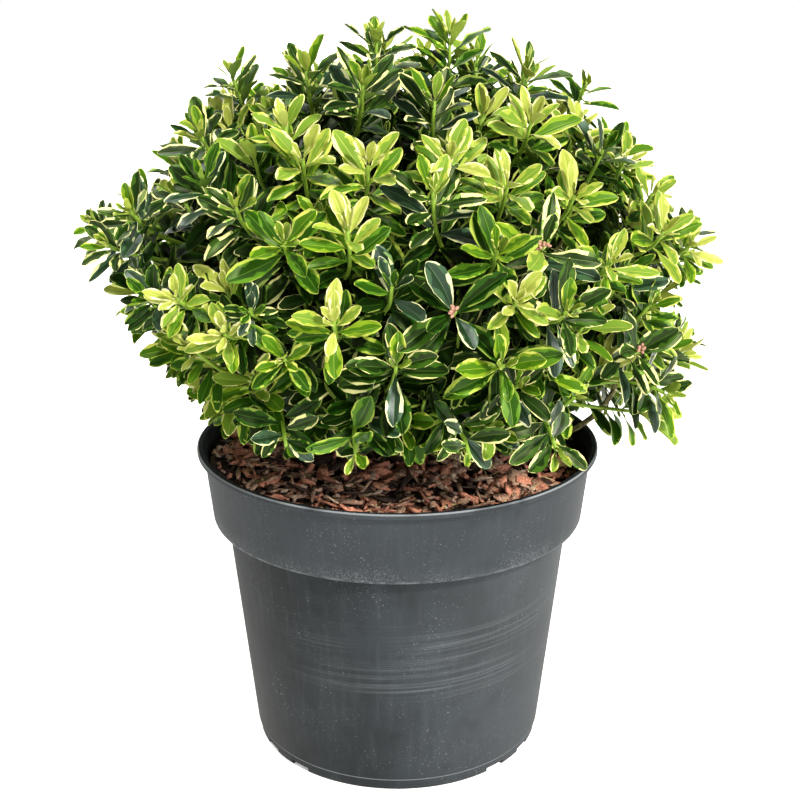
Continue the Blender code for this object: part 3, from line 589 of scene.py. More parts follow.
def scatter_chips():
    """All flakes, crumbs and straws, laid on the bed inside the collar."""
    rng = random.Random(CHIP_SEED)
    kinds = list(CHIP_TONES)
    shares = [CHIP_TONES[kind][2] for kind in kinds]
    points, corners, counts, slots = [], [], [], []
    base = 0
    for size, (count, lengths, widths, thicknesses, tilt) in CHIP_SIZES.items():
        for _ in range(count):
            slot = rng.choices(range(len(kinds)), shares)[0]
            if size == "straw":
                slot = kinds.index("straw")
            length = rng.uniform(*lengths)
            width = length * rng.uniform(*widths)
            shape, face_corners, face_counts, face_slots = chip_arrays(
                rng, length, width, rng.uniform(*thicknesses), slot
            )
            radius = (bed_edge - 0.5 * length - 0.001) * math.sqrt(rng.uniform(0.02, 1.0))
            azimuth = rng.uniform(0.0, 2.0 * math.pi)
            x, y = radius * math.cos(azimuth), radius * math.sin(azimuth)
            turn = Matrix.Rotation(rng.uniform(0.0, 2.0 * math.pi), 3, "Z")
            turn @= Matrix.Rotation(rng.gauss(0.0, tilt), 3, "X")
            turn @= Matrix.Rotation(rng.gauss(0.0, 0.7 * tilt), 3, "Y")
            lift = mulch_lift(x, y) + rng.uniform(*CHIP_LIFT)
            place = np.array((x, y, MULCH_HEIGHT + lift))
            points.append(shape @ np.array(turn).T + place)
            corners.append(face_corners + base)
            counts += face_counts
            slots += face_slots
            base += len(shape)
    materials = [bark_material(kind, *CHIP_TONES[kind][:2]) for kind in kinds]
    return joined_mesh(
        "mulch_flakes",
        np.concatenate(points),
        np.concatenate(corners),
        counts,
        slots,
        materials,
        smooth=False,
    )


flakes = scatter_chips()
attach(flakes, "root")
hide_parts("compost_and_mulch")

# The shrub's frame: a short trunk with a root flare stands flat on the mulch and forks into
# boughs at once. The bark is olive to grey-brown and ribbed lengthways, smooth on young wood.
# Every limb follows the same curve as its solid.
SEED = 27
GAP = 0.0003
CROWN_HEIGHT = 0.300
CROWN_OUTLINE = (
    (-40.0, 0.152),
    (-20.0, 0.176),
    (0.0, 0.198),
    (18.0, 0.229),
    (40.0, 0.210),
    (60.0, 0.210),
    (90.0, 0.212),
)
CROWN_LOBE = 0.006
CROWN_LOW_LEAN = 0.034
CROWN_LOWEST = math.radians(-33.0)
SKIRT_HEIGHT = 0.2135
SKIRT_RISE = 0.105
SKIRT_RISE_FRONT = 0.28
SKIRT_RISE_LEFT = 0.19
TRUNK_RADIUS = 0.0105
TRUNK_FLARE = 0.0085
TRUNK_FLARE_HEIGHT = 0.007
TRUNK_HEIGHT = 0.036
TRUNK_LEAN = 0.003
TRUNK_ROOTS = 5
TRUNK_SIDES = 48
TRUNK_RINGS = 40
BOUGH_SIDES = 14
BOUGH_RINGS = 60
BOUGH_RADIUS = 0.0039
BRANCH_RADIUS = 0.0030
BOUGH_TIP_RADIUS = 0.0021
BOUGH_END = 0.086
RING_SKIRT = (-10.0, 8, 0.0)
RING_MIDDLE = (27.0, 8, 22.5)
RING_UPPER = (59.0, 4, 40.0)
MASS_TURN = 5.0
CORE_DEPTH = 0.112
CROWN_MIDDLE = Vector((0.0, 0.0, CROWN_HEIGHT))
UP = Vector((0.0, 0.0, 1.0))


def direction_of(elevation, azimuth):
    flat = math.cos(elevation)
    return Vector((flat * math.cos(azimuth), flat * math.sin(azimuth), math.sin(elevation)))


def eased(stops, place):
    """The value at a place between (place, value) stops, eased from one to the next."""
    for (low, near), (high, far) in zip(stops, stops[1:]):
        if place <= high:
            share = max(0.0, (place - low) / (high - low))
            return near + share * share * (3.0 - 2.0 * share) * (far - near)
    return stops[-1][1]


def reach(direction):
    """How far leaf tips reach from the crown's middle: its outline with soft lobes."""
    elevation = math.degrees(math.asin(max(-1.0, min(1.0, direction.z))))
    azimuth = math.atan2(direction.y, direction.x)
    flat = math.cos(math.radians(elevation))
    lobes = math.sin(3.0 * azimuth + 0.6) + math.sin(5.0 * azimuth + 4.0 * direction.z)
    low = min(1.0, max(0.0, (12.0 - elevation) / 30.0))
    lean = CROWN_LOW_LEAN * direction.x * low
    return eased(CROWN_OUTLINE, elevation) + CROWN_LOBE * 0.5 * flat * lobes + lean


def skirt_height(x, y):
    """Lowest height of a leaf: just over the mulch and the rim, and higher at the front."""
    out = math.hypot(x, y)
    front = max(0.0, -y / out) ** 2 if out > 0.0 else 0.0
    left = max(0.0, -x / out) ** 2 if out > 0.0 else 0.0
    rise = SKIRT_RISE + front * (SKIRT_RISE_FRONT - SKIRT_RISE)
    rise += left * (SKIRT_RISE_LEFT - SKIRT_RISE)
    return SKIRT_HEIGHT + rise * out


def curve_point(controls, share):
    """A point on the Bezier curve through the first and last control points."""
    points = [point.copy() for point in controls]
    while len(points) > 1:
        points = [near.lerp(far, share) for near, far in zip(points, points[1:])]
    return points[0]


def curve_points(controls, rings):
    return [curve_point(controls, ring / (rings - 1)) for ring in range(rings)]


def bark_tube(path, radii, sides, ridge=0.0):
    """Points, corners and counts of a closed tube whose skin has lengthways ribs."""
    points = []
    normal = None
    for index, middle in enumerate(path):
        ahead = path[min(index + 1, len(path) - 1)]
        behind = path[max(index - 1, 0)]
        along = (ahead - behind).normalized()
        if normal is None:
            normal = along.orthogonal().normalized()
        normal = (normal - along * normal.dot(along)).normalized()
        side = along.cross(normal)
        for corner in range(sides):
            angle = 2.0 * math.pi * corner / sides
            spoke = normal * math.cos(angle) + side * math.sin(angle)
            radius = radii[index]
            if ridge:
                seat = Vector((math.cos(angle) * 2.2, math.sin(angle) * 2.2, index * 0.16))
                radius *= 1.0 - ridge + ridge * noise.noise(seat + middle * 40.0)
            points.append(middle + spoke * radius)
    corners = list(range(sides - 1, -1, -1))
    counts = [sides]
    for index in range(len(path) - 1):
        low = index * sides
        for corner in range(sides):
            after = (corner + 1) % sides
            corners += [low + corner, low + after, low + sides + after, low + sides + corner]
            counts.append(4)
    top = (len(path) - 1) * sides
    corners += list(range(top, top + sides))
    counts.append(sides)
    return points, corners, counts


def spindle_bark():
    """Young spindle bark: thin and matt, olive, going grey-brown in corky strips."""
    material, tree, shader = start_material("spindle_bark", "#5c5836", 0.75, 0.3)
    where = add_node(tree, "ShaderNodeTexCoord").outputs["Object"]
    strips = noise_at(tree, where, 260.0, 5.0)
    tone = mix_colors(tree, ease(tree, strips, 0.32, 0.68), "#33291b", "#7d7a4a")
    tree.links.new(tone, shader.inputs["Base Color"])
    bump(tree, shader, strips, 0.8, 0.0006)
    return material


bark = spindle_bark()
head = Vector((TRUNK_LEAN, 0.0, MULCH_HEIGHT + GAP + TRUNK_HEIGHT))


def trunk_radius(height):
    shoulder = max(0.0, height / TRUNK_HEIGHT - 0.7) / 0.3
    waist = TRUNK_RADIUS * (1.0 + 0.18 * math.sin(math.pi * height / TRUNK_HEIGHT))
    return waist * math.sqrt(max(0.0, 1.0 - 0.55 * shoulder**2))


trunk_foot = MULCH_HEIGHT + GAP
trunk = start_ring("trunk_bark", TRUNK_SIDES, TRUNK_RADIUS, trunk_foot)
for ring in range(TRUNK_RINGS):
    bpy.ops.mesh.extrude_edges_move(
        TRANSFORM_OT_translate={"value": (0.0, 0.0, TRUNK_HEIGHT * 0.97 / TRUNK_RINGS)}
    )
bpy.ops.mesh.edge_face_add()
bpy.ops.object.mode_set(mode="OBJECT")
for point in trunk.data.vertices:
    height = point.co.z - trunk_foot
    angle = math.atan2(point.co.y, point.co.x)
    flare = TRUNK_FLARE * max(0.0, 1.0 - height / TRUNK_FLARE_HEIGHT) ** 2
    out = trunk_radius(height) + flare * (0.65 + 0.35 * math.cos(TRUNK_ROOTS * angle))
    ribs = Vector((math.cos(angle) * 4.0, math.sin(angle) * 4.0, height * 60.0))
    out *= 0.97 + 0.05 * noise.noise(ribs)
    lean = TRUNK_LEAN * height / TRUNK_HEIGHT
    point.co.x = lean + out * math.cos(angle)
    point.co.y = out * math.sin(angle)
close_underneath(trunk, [])
trunk.data.materials.append(bark)
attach(trunk, "root")
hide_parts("trunk")


class Mass:
    """One mass of foliage: its name, its direction from the crown's middle and its bough."""

    def __init__(self, name, direction):
        self.name = name
        self.direction = direction
        self.bough = None
        self.shoots = []


def ring_of_masses(kind, ring, rng):
    elevation, count, first = ring
    masses = []
    for index in range(count):
        azimuth = first + 360.0 * index / count + rng.uniform(-MASS_TURN, MASS_TURN)
        lift = elevation + rng.uniform(-0.6, 0.6) * MASS_TURN
        direction = direction_of(math.radians(lift), math.radians(azimuth))
        masses.append(Mass(f"foliage_{kind}_{index + 1}", direction))
    return masses


def bough_controls(start, leaving, mass):
    """A bough leaves its parent one way and arrives pointing out into its mass."""
    tip = CROWN_MIDDLE + mass.direction * BOUGH_END
    span = (tip - start).length
    arriving = (mass.direction + UP * 0.35).normalized()
    return [
        start,
        start + leaving.normalized() * span * 0.40,
        tip - arriving * span * 0.30,
        tip,
    ]


mass_rng = random.Random(SEED)
skirt = ring_of_masses("skirt", RING_SKIRT, mass_rng)
middle_ring = ring_of_masses("middle", RING_MIDDLE, mass_rng)
upper = ring_of_masses("upper", RING_UPPER, mass_rng)
top = Mass("foliage_top", direction_of(math.radians(88.0), 0.0))
masses = skirt + middle_ring + upper + [top]

boughs = {}
leaving_top = UP + Vector((0.12, 0.05, 0.0))
top.bough = bough_controls(head - UP * 0.008, leaving_top, top)
boughs["bough_leader"] = (top.bough, BOUGH_RADIUS)
for index, mass in enumerate(middle_ring):
    level = 0.013 if index % 2 else 0.021
    flat_way = Vector((mass.direction.x, mass.direction.y, 0.0)).normalized()
    leaving = flat_way + UP * (0.55 if index % 2 else 0.95)
    mass.bough = bough_controls(head - UP * level, leaving, mass)
    boughs[f"bough_middle_{index + 1}"] = (mass.bough, BOUGH_RADIUS)
for index, mass in enumerate(upper):
    start = curve_point(top.bough, 0.28 + 0.09 * index)
    mass.bough = bough_controls(start, mass.direction + UP * 0.4, mass)
    boughs[f"bough_upper_{index + 1}"] = (mass.bough, BRANCH_RADIUS)
for index, mass in enumerate(skirt):
    if index == 0:
        # The low stem that shows at the right, out over the mulch and then up
        mass.bough = [
            Vector((head.x, 0.0, 0.2245)),
            Vector((0.060, -0.004, 0.2115)),
            Vector((0.128, -0.006, 0.2080)),
            Vector((0.1505, -0.002, 0.2560)),
        ]
    else:
        start = curve_point(middle_ring[index - 1].bough, 0.36)
        mass.bough = bough_controls(start, mass.direction - UP * 0.25, mass)
    boughs[f"bough_skirt_{index + 1}"] = (mass.bough, BRANCH_RADIUS)

for name, (controls, foot_radius) in boughs.items():
    path = curve_points(controls, BOUGH_RINGS)
    radii = [
        foot_radius + (BOUGH_TIP_RADIUS - foot_radius) * ring / (BOUGH_RINGS - 1)
        for ring in range(BOUGH_RINGS)
    ]
    tube_points, tube_corners, tube_counts = bark_tube(path, radii, BOUGH_SIDES, ridge=0.10)
    bough = joined_mesh(
        f"{name}_bark", tube_points, tube_corners, tube_counts, [0] * len(tube_counts), [bark]
    )
    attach(bough, "root")
    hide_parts(name)

# The leaves: thick, leathery and evergreen, 10 to 40 mm long, with a short stalk, a blunt tip
# and a creased midrib. The blade is dark green in its middle, breaks into plainer green and
# ends in an uneven cream or yellow margin. Young leaves are lime with pale edges.
LEAF_SEED = 5
LEAF_VARIANTS = 26
LEAF_TOOTH = 0.055
LEAF_THICKNESS = 0.012
LEAF_RIB = 0.028
BARE_EDGE = -0.10
FALLEN_LEAVES = (
    # place on the bed, turn and length
    (0.096, -0.037, 0.25, 0.028),
    (-0.088, 0.052, 2.2, 0.026),
    (0.030, 0.104, 4.0, 0.027),
)
FALLEN_HEIGHT = 0.0065
LEAF_BUILDS = {
    # rows along the blade and strips across it, the builds that a place on the plant mixes
    "near": ((14, 7),),
    "outer": ((8, 6), (8, 5)),
    "inner": ((5, 4),),
}
MIDDLE, PATCH, MARGIN, RIB, UNDERSIDE = range(5)
PARTS_ACROSS = {
    # the part of each strip across the blade, by the number of strips
    7: (MARGIN, PATCH, MIDDLE, RIB, MIDDLE, PATCH, MARGIN),
    6: (MARGIN, PATCH, MIDDLE, MIDDLE, PATCH, MARGIN),
    5: (MARGIN, MIDDLE, RIB, MIDDLE, MARGIN),
    4: (MARGIN, MIDDLE, MIDDLE, MARGIN),
}
# Marks of the points on a sharp crease: each side of the rib, and the blade's edge
LEFT_CREASE, RIGHT_CREASE, EDGE_CREASE = 1, 2, 3
BLADE_COLORS = {
    # middle, patch, margin, rib, underside. The undersides are pale olive like real ones and
    # lighter still, as painted light for the sun shining through the blade
    # The deep kind is old leaves darkened to near black, as painted shade for the inner shoots and
    # the lowest pairs inside the crown
    "deep": ("#081302", "#102405", "#263b0e", "#18300a", "#2c3f12"),
    "forest": ("#0a1f02", "#1b3d08", "#6f8036", "#2e5412", "#527026"),
    "blue": ("#142a14", "#2d482c", "#c6c894", "#40583a", "#688648"),
    "mature": ("#122607", "#2f4e12", "#cfcb8a", "#405e20", "#769440"),
    "green": ("#1e4006", "#446a14", "#8f9e3c", "#537420", "#84a040"),
    "bright": ("#3a5f0c", "#6a841b", "#b2b655", "#768e2a", "#94ac44"),
    "fresh": ("#627f28", "#8c9838", "#d2cf88", "#989f44", "#a2b04a"),
    "young": ("#8e993f", "#aaae5a", "#d8d4a2", "#aeb45c", "#acb65c"),
}
# Old leaves low on the shoots are dull, bloomed ones catch more of the light
BLADE_GLOSS = {"deep": 0.08, "forest": 0.16, "mature": 0.26, "blue": 0.32}
GREEN_SHEEN = "#dcebb0"
BLUE_SHEEN = "#f2fbff"
BLADE_PARTS = ("middle", "patch", "margin", "rib", "underside")
BLADE_KINDS = list(BLADE_COLORS)

leaf_materials = []
for kind in BLADE_KINDS:
    for part, color in zip(BLADE_PARTS, BLADE_COLORS[kind]):
        dull = 0.60 if part == "underside" else 0.38
        gloss = BLADE_GLOSS.get(kind, 0.20)
        blade, _, shader = start_material(f"leaf_{kind}_{part}", color, dull, gloss)
        sheen = BLUE_SHEEN if kind == "blue" else GREEN_SHEEN
        shader.inputs["Specular Tint"].default_value = (*linear(sheen), 1.0)
        leaf_materials.append(blade)


def half_width(share):
    """Half the blade's width along its length: a stalk, then widest well past the middle."""
    body = max(0.0, share - 0.05) / 0.95
    return 0.035 + 0.97 * (body**1.18 * (1.0 - body) ** 0.68) / 0.2931


def leaf_arrays(rng, rows, strips):
    """One leaf of unit length along X: points, corners, counts, parts and crease marks."""
    width = rng.uniform(0.144, 0.188)
    fold = rng.uniform(0.26, 0.72)
    curl = rng.uniform(0.00, 0.35)
    twist = rng.uniform(-0.30, 0.30)
    sway = rng.uniform(-0.05, 0.05)
    wave = rng.uniform(0.0, 0.035)
    seed = rng.uniform(0.0, 90.0)
    pale = 0.96 - 0.40 * rng.random() ** 1.45
    heart = rng.uniform(0.36, 0.80)
    lopsided = rng.uniform(-0.12, 0.12)
    ribs = [-LEAF_RIB, LEAF_RIB] if strips % 2 else [0.0]
    marks = [0] * (strips + 1)
    marks[0] = marks[-1] = EDGE_CREASE
    marks[(strips + 1) // 2] = RIGHT_CREASE
    marks[strips // 2] = LEFT_CREASE
    points = [(0.0, 0.0, 0.0)]
    creases = [0]
    bare = []
    shares = [0.5 - 0.5 * math.cos(math.pi * (row + 1.0) / (rows + 1.0)) for row in range(rows)]
    for row, share in enumerate(shares):
        half = half_width(share) * width
        if share > 0.4:
            half *= 1.0 + LEAF_TOOTH * (0.5 if row % 2 else -0.5)
        turn = twist * share
        spread = []
        for side in (-1.0, 1.0):
            edge = pale + 0.34 * noise.noise(Vector((seed, share * 5.0, side * 3.0)))
            inner = heart + 0.60 * noise.noise(Vector((seed + 31.0, share * 7.0, side * 5.0)))
            edge += lopsided * side + rng.uniform(-0.09, 0.09)
            bare.append(noise.noise(Vector((seed + 57.0, share * 4.0, side * 3.0))) < BARE_EDGE)
            inner += rng.uniform(-0.16, 0.16)
            edge = min(0.975, max(0.46, edge)) - 0.14 * share**6
            spread.append((edge, min(edge - 0.03, max(0.12, inner))))
        (left_edge, left_inner), (right_edge, right_inner) = spread
        if PATCH in PARTS_ACROSS[strips]:
            lines = [-left_edge, -left_inner, *ribs, right_inner, right_edge]
        else:
            lines = [-left_edge, *ribs, right_edge]
        for part in (-1.0, *lines, 1.0):
            across = part * half
            rise = fold * abs(across) - curl * across * across / half
            rise += wave * math.sin(share * 13.0 + part) * part * part
            y = across * math.cos(turn) - rise * math.sin(turn)
            z = across * math.sin(turn) + rise * math.cos(turn)
            points.append((share, sway * math.sin(math.pi * share) + y, z))
        points.append((share, sway * math.sin(math.pi * share), -LEAF_THICKNESS))
        creases += marks + [0]
    tip = len(points)
    points.append((1.0, 0.0, 0.0))
    creases.append(0)

    stride = strips + 2
    corners, counts, parts = [], [], []

    def face(part, *loop):
        corners.extend(loop)
        counts.append(len(loop))
        parts.append(part)

    for strip in range(strips):
        face(MARGIN if strip in (0, strips - 1) else MIDDLE, 0, 1 + strip, 2 + strip)
    face(UNDERSIDE, 0, stride, 1)
    face(UNDERSIDE, 0, 1 + strips, stride)
    for row in range(rows - 1):
        low = 1 + row * stride
        high = low + stride
        for strip, part in enumerate(PARTS_ACROSS[strips]):
            bare_left = strip == 0 and bare[2 * row]
            bare_right = strip == strips - 1 and bare[2 * row + 1]
            if bare_left or bare_right:
                part = PATCH
            face(part, low + strip, high + strip, high + strip + 1, low + strip + 1)
        face(UNDERSIDE, low, low + strips + 1, high + strips + 1, high)
        face(UNDERSIDE, low + strips + 1, low + strips, high + strips, high + strips + 1)
    low = 1 + (rows - 1) * stride
    for strip in range(strips):
        face(MARGIN, low + strip, tip, low + strip + 1)
    face(UNDERSIDE, low, low + strips + 1, tip)
    face(UNDERSIDE, low + strips + 1, low + strips, tip)
    return [np.array(values) for values in (points, corners, counts, parts, creases)]


leaf_rng = random.Random(LEAF_SEED)
dry_leaf, _, _ = start_material("dry_leaf", "#a98c62", 0.70, 0.25)
leaf_shapes = {
    place: [
        leaf_arrays(leaf_rng, *builds[index % len(builds)]) for index in range(LEAF_VARIANTS)
    ]
    for place, builds in LEAF_BUILDS.items()
}

# Three of them have dried and dropped, and lie curled on the mulch
for index, (x, y, turn, length) in enumerate(FALLEN_LEAVES):
    points, corners, counts, parts, _ = leaf_shapes["near"][index]
    bent = points.copy()
    bent[:, 2] += 0.35 * (points[:, 0] - 0.5) ** 2 + 2.2 * points[:, 1] ** 2
    height = MULCH_HEIGHT + mulch_lift(x, y) + FALLEN_HEIGHT
    placed = Matrix.Translation((x, y, height)) @ Matrix.Rotation(turn, 4, "Z")
    name = f"fallen_leaf_{index + 1}"
    leaf = joined_mesh(name, bent * length, corners, counts, parts * 0, [dry_leaf])
    leaf.data.transform(placed)
    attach(leaf, "root")
    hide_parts("compost_and_mulch")

# The sprays: in each mass a stem runs on from the bough's tip and forks into shoots. A shoot
# stands nearly upright on top of the crown, leans out at its sides and hangs at its skirt,
# with its leaves in crossed pairs, small and steep at the tip and wide apart below.
SHOOTS = 300
INNER_LAYERS = ((230, 0.85), (130, 0.66))
SHOOT_FOOT_RADIUS = 0.0016
SHOOT_TIP_RADIUS = 0.0012
SHOOT_SIDES = 5
OLD_SHARE = 1.0 / 3.0
STEM_RADIUS = 0.0021
STEM_SIDES = 7
SHOOT_LEANS = (
    # elevation on the crown, lean from upright, both in degrees
    (-33.0, 112.0),
    (-18.0, 84.0),
    (0.0, 46.0),
    (20.0, 25.0),
    (45.0, 14.0),
    (90.0, 3.0),
)
PAIRS = (
    # distance from the tip, leaf length, angle from the shoot in degrees, arch
    (0.0000, 0.0130, 14.0, 0.00),
    (0.0016, 0.0200, 29.0, 0.04),
    (0.0044, 0.0235, 42.0, 0.08),
    (0.0081, 0.0250, 51.0, 0.12),
    (0.0122, 0.0255, 57.0, 0.14),
    (0.0167, 0.0255, 61.0, 0.16),
    (0.0215, 0.0255, 64.0, 0.18),
    (0.0266, 0.0250, 66.0, 0.20),
    (0.0322, 0.0245, 68.0, 0.22),
    (0.0386, 0.0240, 70.0, 0.25),
    (0.0460, 0.0235, 72.0, 0.28),
)
SPREAD_OUTWARD = 14.0
# Shoots that stand upright hold their lower leaves steeper
UPRIGHT = 0.82
UPRIGHT_SPREAD = 54.0
SPRAYS = {
    # share of the shoots, and the kind of each pair of leaves from the tip down
    "cream": (0.34, "fresh bright mature mature mature blue mature forest forest deep deep"),
    "green": (0.30, "fresh bright bright green green green forest forest mature deep deep"),
    "lime": (0.24, "young young fresh fresh bright bright green green forest deep deep"),
    "pale": (0.04, "young young young fresh fresh bright green forest deep deep deep"),
    "dark": (0.08, "green blue forest blue mature forest forest deep deep deep deep"),
    "inner": (0.0, "forest deep forest deep mature deep forest deep deep deep deep"),
}
HIDDEN_PAIRS = 3
# Leaves turn their faces to the sunny side, but no more on the side of the crown behind it
SUN_SIDE = Vector((0.35, -0.90, 0.55))
SUN_PULL = (0.15, 0.95)
SHADE_FROM = 0.85
SHADE_RANGE = 0.5
TIP_SHARE = 0.93
NEAR_TIP = 0.034
SKIRT_HANG = 0.025
SKIRT_WAVES = 27.0
SKIRT_RAGGED = 0.024
SKIRT_DIP = -0.12
PHOTO_SIDE = 800.0
PHOTO_MIDDLE = PHOTO_SIDE / 2.0
FOCAL_PIXELS = CAMERA_LENS / SENSOR_WIDTH * PHOTO_SIDE
# A shoot of the photo that looks this long lies across the view, a shorter one leans out of it
SHOWN_SHOOT = 0.054
FRONT_SHOOTS = {
    # tip and foot of a shoot in the photo's pixels, its spray and the size of its leaves
    "back_left_tower": ((232, 76), (243, 130), "cream", 1.00),
    "upright_fan": ((306, 72), (313, 128), "cream", 1.20),
    "high_fork": ((376, 42), (372, 92), "cream", 1.15),
    "ribbed_tower": ((363, 86), (362, 140), "cream", 1.20),
    "tallest_tower": ((450, 38), (455, 130), "green", 1.25),
    "back_right_fan": ((526, 70), (520, 116), "cream", 1.20),
    "right_tower": ((586, 86), (576, 130), "green", 0.95),
    "big_bright_tower": ((531, 122), (528, 172), "lime", 1.25),
    "dark_droop": ((603, 150), (590, 190), "dark", 1.30),
    "right_small": ((624, 162), (618, 196), "lime", 0.80),
    "right_twin": ((652, 194), (648, 226), "lime", 0.85),
    "right_star": ((664, 232), (656, 268), "lime", 1.10),
    "right_edge": ((690, 246), (676, 268), "lime", 0.95),
    "left_star": ((201, 136), (206, 176), "cream", 1.10),
    "left_blue_tower": ((203, 182), (209, 240), "dark", 1.20),
    "left_inner_fan": ((236, 208), (238, 246), "cream", 1.15),
    "left_edge_star": ((131, 212), (143, 244), "cream", 1.15),
    "left_edge_fan": ((108, 246), (140, 262), "cream", 0.95),
    "left_tip": ((96, 226), (124, 246), "cream", 0.95),
    "left_low_fan": ((150, 300), (184, 312), "dark", 1.05),
    "pale_left": ((176, 298), (189, 330), "pale", 0.90),
    "pale_low": ((224, 334), (236, 352), "pale", 0.90),
    "green_star": ((284, 243), (279, 266), "green", 1.35),
    "lime_tower": ((347, 228), (358, 312), "lime", 1.05),
    "lime_pair": ((333, 322), (341, 372), "lime", 1.05),
    "cream_tower": ((433, 192), (433, 262), "cream", 1.20),
    "lime_crown": ((449, 158), (452, 196), "lime", 1.05),
    "bright_fan": ((368, 166), (370, 220), "lime", 1.30),
    "yellow_fan": ((303, 160), (300, 200), "lime", 1.20),
    "olive_tower": ((508, 184), (502, 232), "lime", 1.10),
    "cup_tower": ((497, 252), (496, 292), "green", 1.15),
    "budded_fan": ((543, 246), (543, 276), "cream", 1.40),
    "yellow_right": ((574, 196), (572, 232), "lime", 1.15),
    "yellow_low_right": ((612, 262), (610, 296), "lime", 1.10),
    "pale_centre": ((516, 302), (514, 326), "pale", 0.90),
    "olive_right": ((566, 312), (560, 344), "cream", 1.20),
    "blue_rosette": ((455, 312), (452, 322), "dark", 1.40),
    "low_rosette": ((396, 366), (396, 380), "cream", 1.30),
    "green_rosette": ((503, 366), (502, 382), "green", 1.30),
    "small_rosette": ((284, 360), (284, 370), "green", 1.05),
    "small_dark": ((250, 312), (252, 330), "dark", 0.70),
    "right_rosette": ((640, 350), (634, 362), "cream", 1.15),
    "hanging_left": ((286, 446), (270, 384), "dark", 1.20),
    "hanging_low_left": ((356, 456), (342, 388), "green", 1.25),
    "hanging_low_right": ((470, 458), (462, 390), "cream", 1.15),
    "hanging_right": ((556, 450), (544, 384), "cream", 1.20),
    "low_right_tip": ((664, 392), (618, 362), "cream", 1.20),
}

# Three of them end in a cluster of small pinkish flower buds on short stalks
BUDDED_SHOOTS = ("blue_rosette", "budded_fan", "right_rosette")
BUDS_A_SHOOT = 8
BUD_SIDES = 6
BUD_STEPS = (
    # distance from the shoot's tip and radius
    (0.0000, 0.00036),
    (0.0022, 0.00036),
    (0.0028, 0.00085),
    (0.0037, 0.00100),
    (0.0045, 0.00072),
    (0.0050, 0.00016),
)

SKYLINE = (
    # pixels along the top of the crown in the photo, from its left end to its right end
    (79, 215), (107, 185), (121, 170), (167, 140), (175, 110), (206, 95), (212, 64), (237, 58),
    (262, 85), (290, 55), (308, 47), (330, 55), (345, 40), (376, 20), (395, 35), (420, 14),
    (433, 10), (466, 12), (480, 50), (515, 48), (541, 45), (552, 80), (585, 68), (603, 85),
    (612, 110), (621, 140), (634, 165), (655, 182), (690, 208), (712, 218), (718, 250),
)
SKYLINE_COVER = 24.0
# The same along its lower left side, from above down, with the leaves' own length taken off
LOW_LEFT = ((154.0, 300.0), (210.0, 392.0), (222.0, 440.0))
# The ends of the low stem at the right where it shows, and how far shoots and leaves keep off
LOW_STEM_SHOWN = ((580.0, 434.0), (613.0, 388.0))
LOW_STEM_SHOOTS = 5.0
LOW_STEM_LEAVES = 10.0
LOW_STEM_BACK = 0.004

twig_green, _, _ = start_material("green_shoot", "#73922a", 0.50, 0.3)
twig_olive, _, _ = start_material("olive_twig", "#5c5a30", 0.65, 0.3)
bud_pink, _, _ = start_material("flower_bud", "#a87c6a", 0.55, 0.3)
lens_turn = Matrix.Rotation(math.pi / 2.0 - CAMERA_PITCH, 3, "X")


def even_directions(count, rng, jitter):
    """Directions spread evenly over the crown by the golden angle."""
    golden = math.pi * (3.0 - math.sqrt(5.0))
    lowest = math.sin(CROWN_LOWEST)
    for index in range(count):
        height = 1.0 - (1.0 - lowest) * (index + 0.5) / count
        elevation = math.asin(height) + rng.uniform(-jitter, jitter)
        azimuth = index * golden + rng.uniform(-jitter, jitter)
        yield direction_of(max(CROWN_LOWEST, elevation), azimuth)


class Shoot:
    """A shoot of a spray: where its tip is, which way it grows, its leaves and their size."""

    def __init__(self, tip, heading, spray, size, turn, place):
        self.tip = tip
        self.heading = heading
        self.spray = spray
        self.size = size
        self.turn = turn
        self.place = place
        self.budded = False


def pixel_of(point):
    """Where the camera sees a point, in the photo's pixels."""
    seen = lens_turn.inverted() @ (point - Vector(CAMERA_PLACE))
    scale = FOCAL_PIXELS / seen.z
    return PHOTO_MIDDLE - scale * seen.x, PHOTO_MIDDLE + scale * seen.y


def hides_low_stem(point, gap):
    """Whether a point stands before the low stem, which shows between the leaves."""
    x, y = pixel_of(point)
    (left, low), (right, high) = LOW_STEM_SHOWN
    across, down = right - left, high - low
    share = ((x - left) * across + (y - low) * down) / (across**2 + down**2)
    share = min(1.0, max(0.0, share))
    away = math.hypot(x - left - share * across, y - low - share * down)
    return away < gap and point.y < LOW_STEM_BACK


def inside_outline(point):
    """Whether a point lies far enough inside the photo's outline for its leaves to fit."""
    x, y = pixel_of(point)
    for (left, high), (right, low) in zip(LOW_LEFT, LOW_LEFT[1:]):
        if high <= y <= low:
            return x >= left + (right - left) * (y - high) / (low - high)
    for (left, high), (right, low) in zip(SKYLINE, SKYLINE[1:]):
        if left <= x <= right:
            line = high + (low - high) * (x - left) / (right - left)
            return y >= line + SKYLINE_COVER
    return y >= SKYLINE[0][1]


def lattice_shoot(direction, depth, spray, rng):
    """A shoot under the crown's outline that leans as its place on the crown asks."""
    elevation = math.degrees(math.asin(direction.z))
    lean = math.radians(eased(SHOOT_LEANS, elevation) + rng.gauss(0.0, 7.0))
    out = Vector((direction.x, direction.y, 0.0)).normalized()
    heading = UP * math.cos(lean) + out * math.sin(lean)
    heading += Vector([rng.uniform(-0.10, 0.10) for _ in range(3)])
    heading.normalize()
    level = depth * rng.uniform(0.86, 1.0)
    cover = 0.016 + 0.010 * (1.0 - heading.dot(direction))
    span = reach(direction) * level - cover
    tip = CROWN_MIDDLE + direction * span
    while not inside_outline(tip) and span > 0.8 * reach(direction):
        span -= 0.004
        tip = CROWN_MIDDLE + direction * span
    tip.z = max(tip.z, skirt_height(tip.x, tip.y) + SKIRT_HANG)
    turn = math.pi / 4.0 + rng.gauss(0.0, 0.35)
    place = "inner" if spray == "inner" else "outer"
    return Shoot(tip, heading, spray, rng.uniform(0.90, 1.20), turn, place)


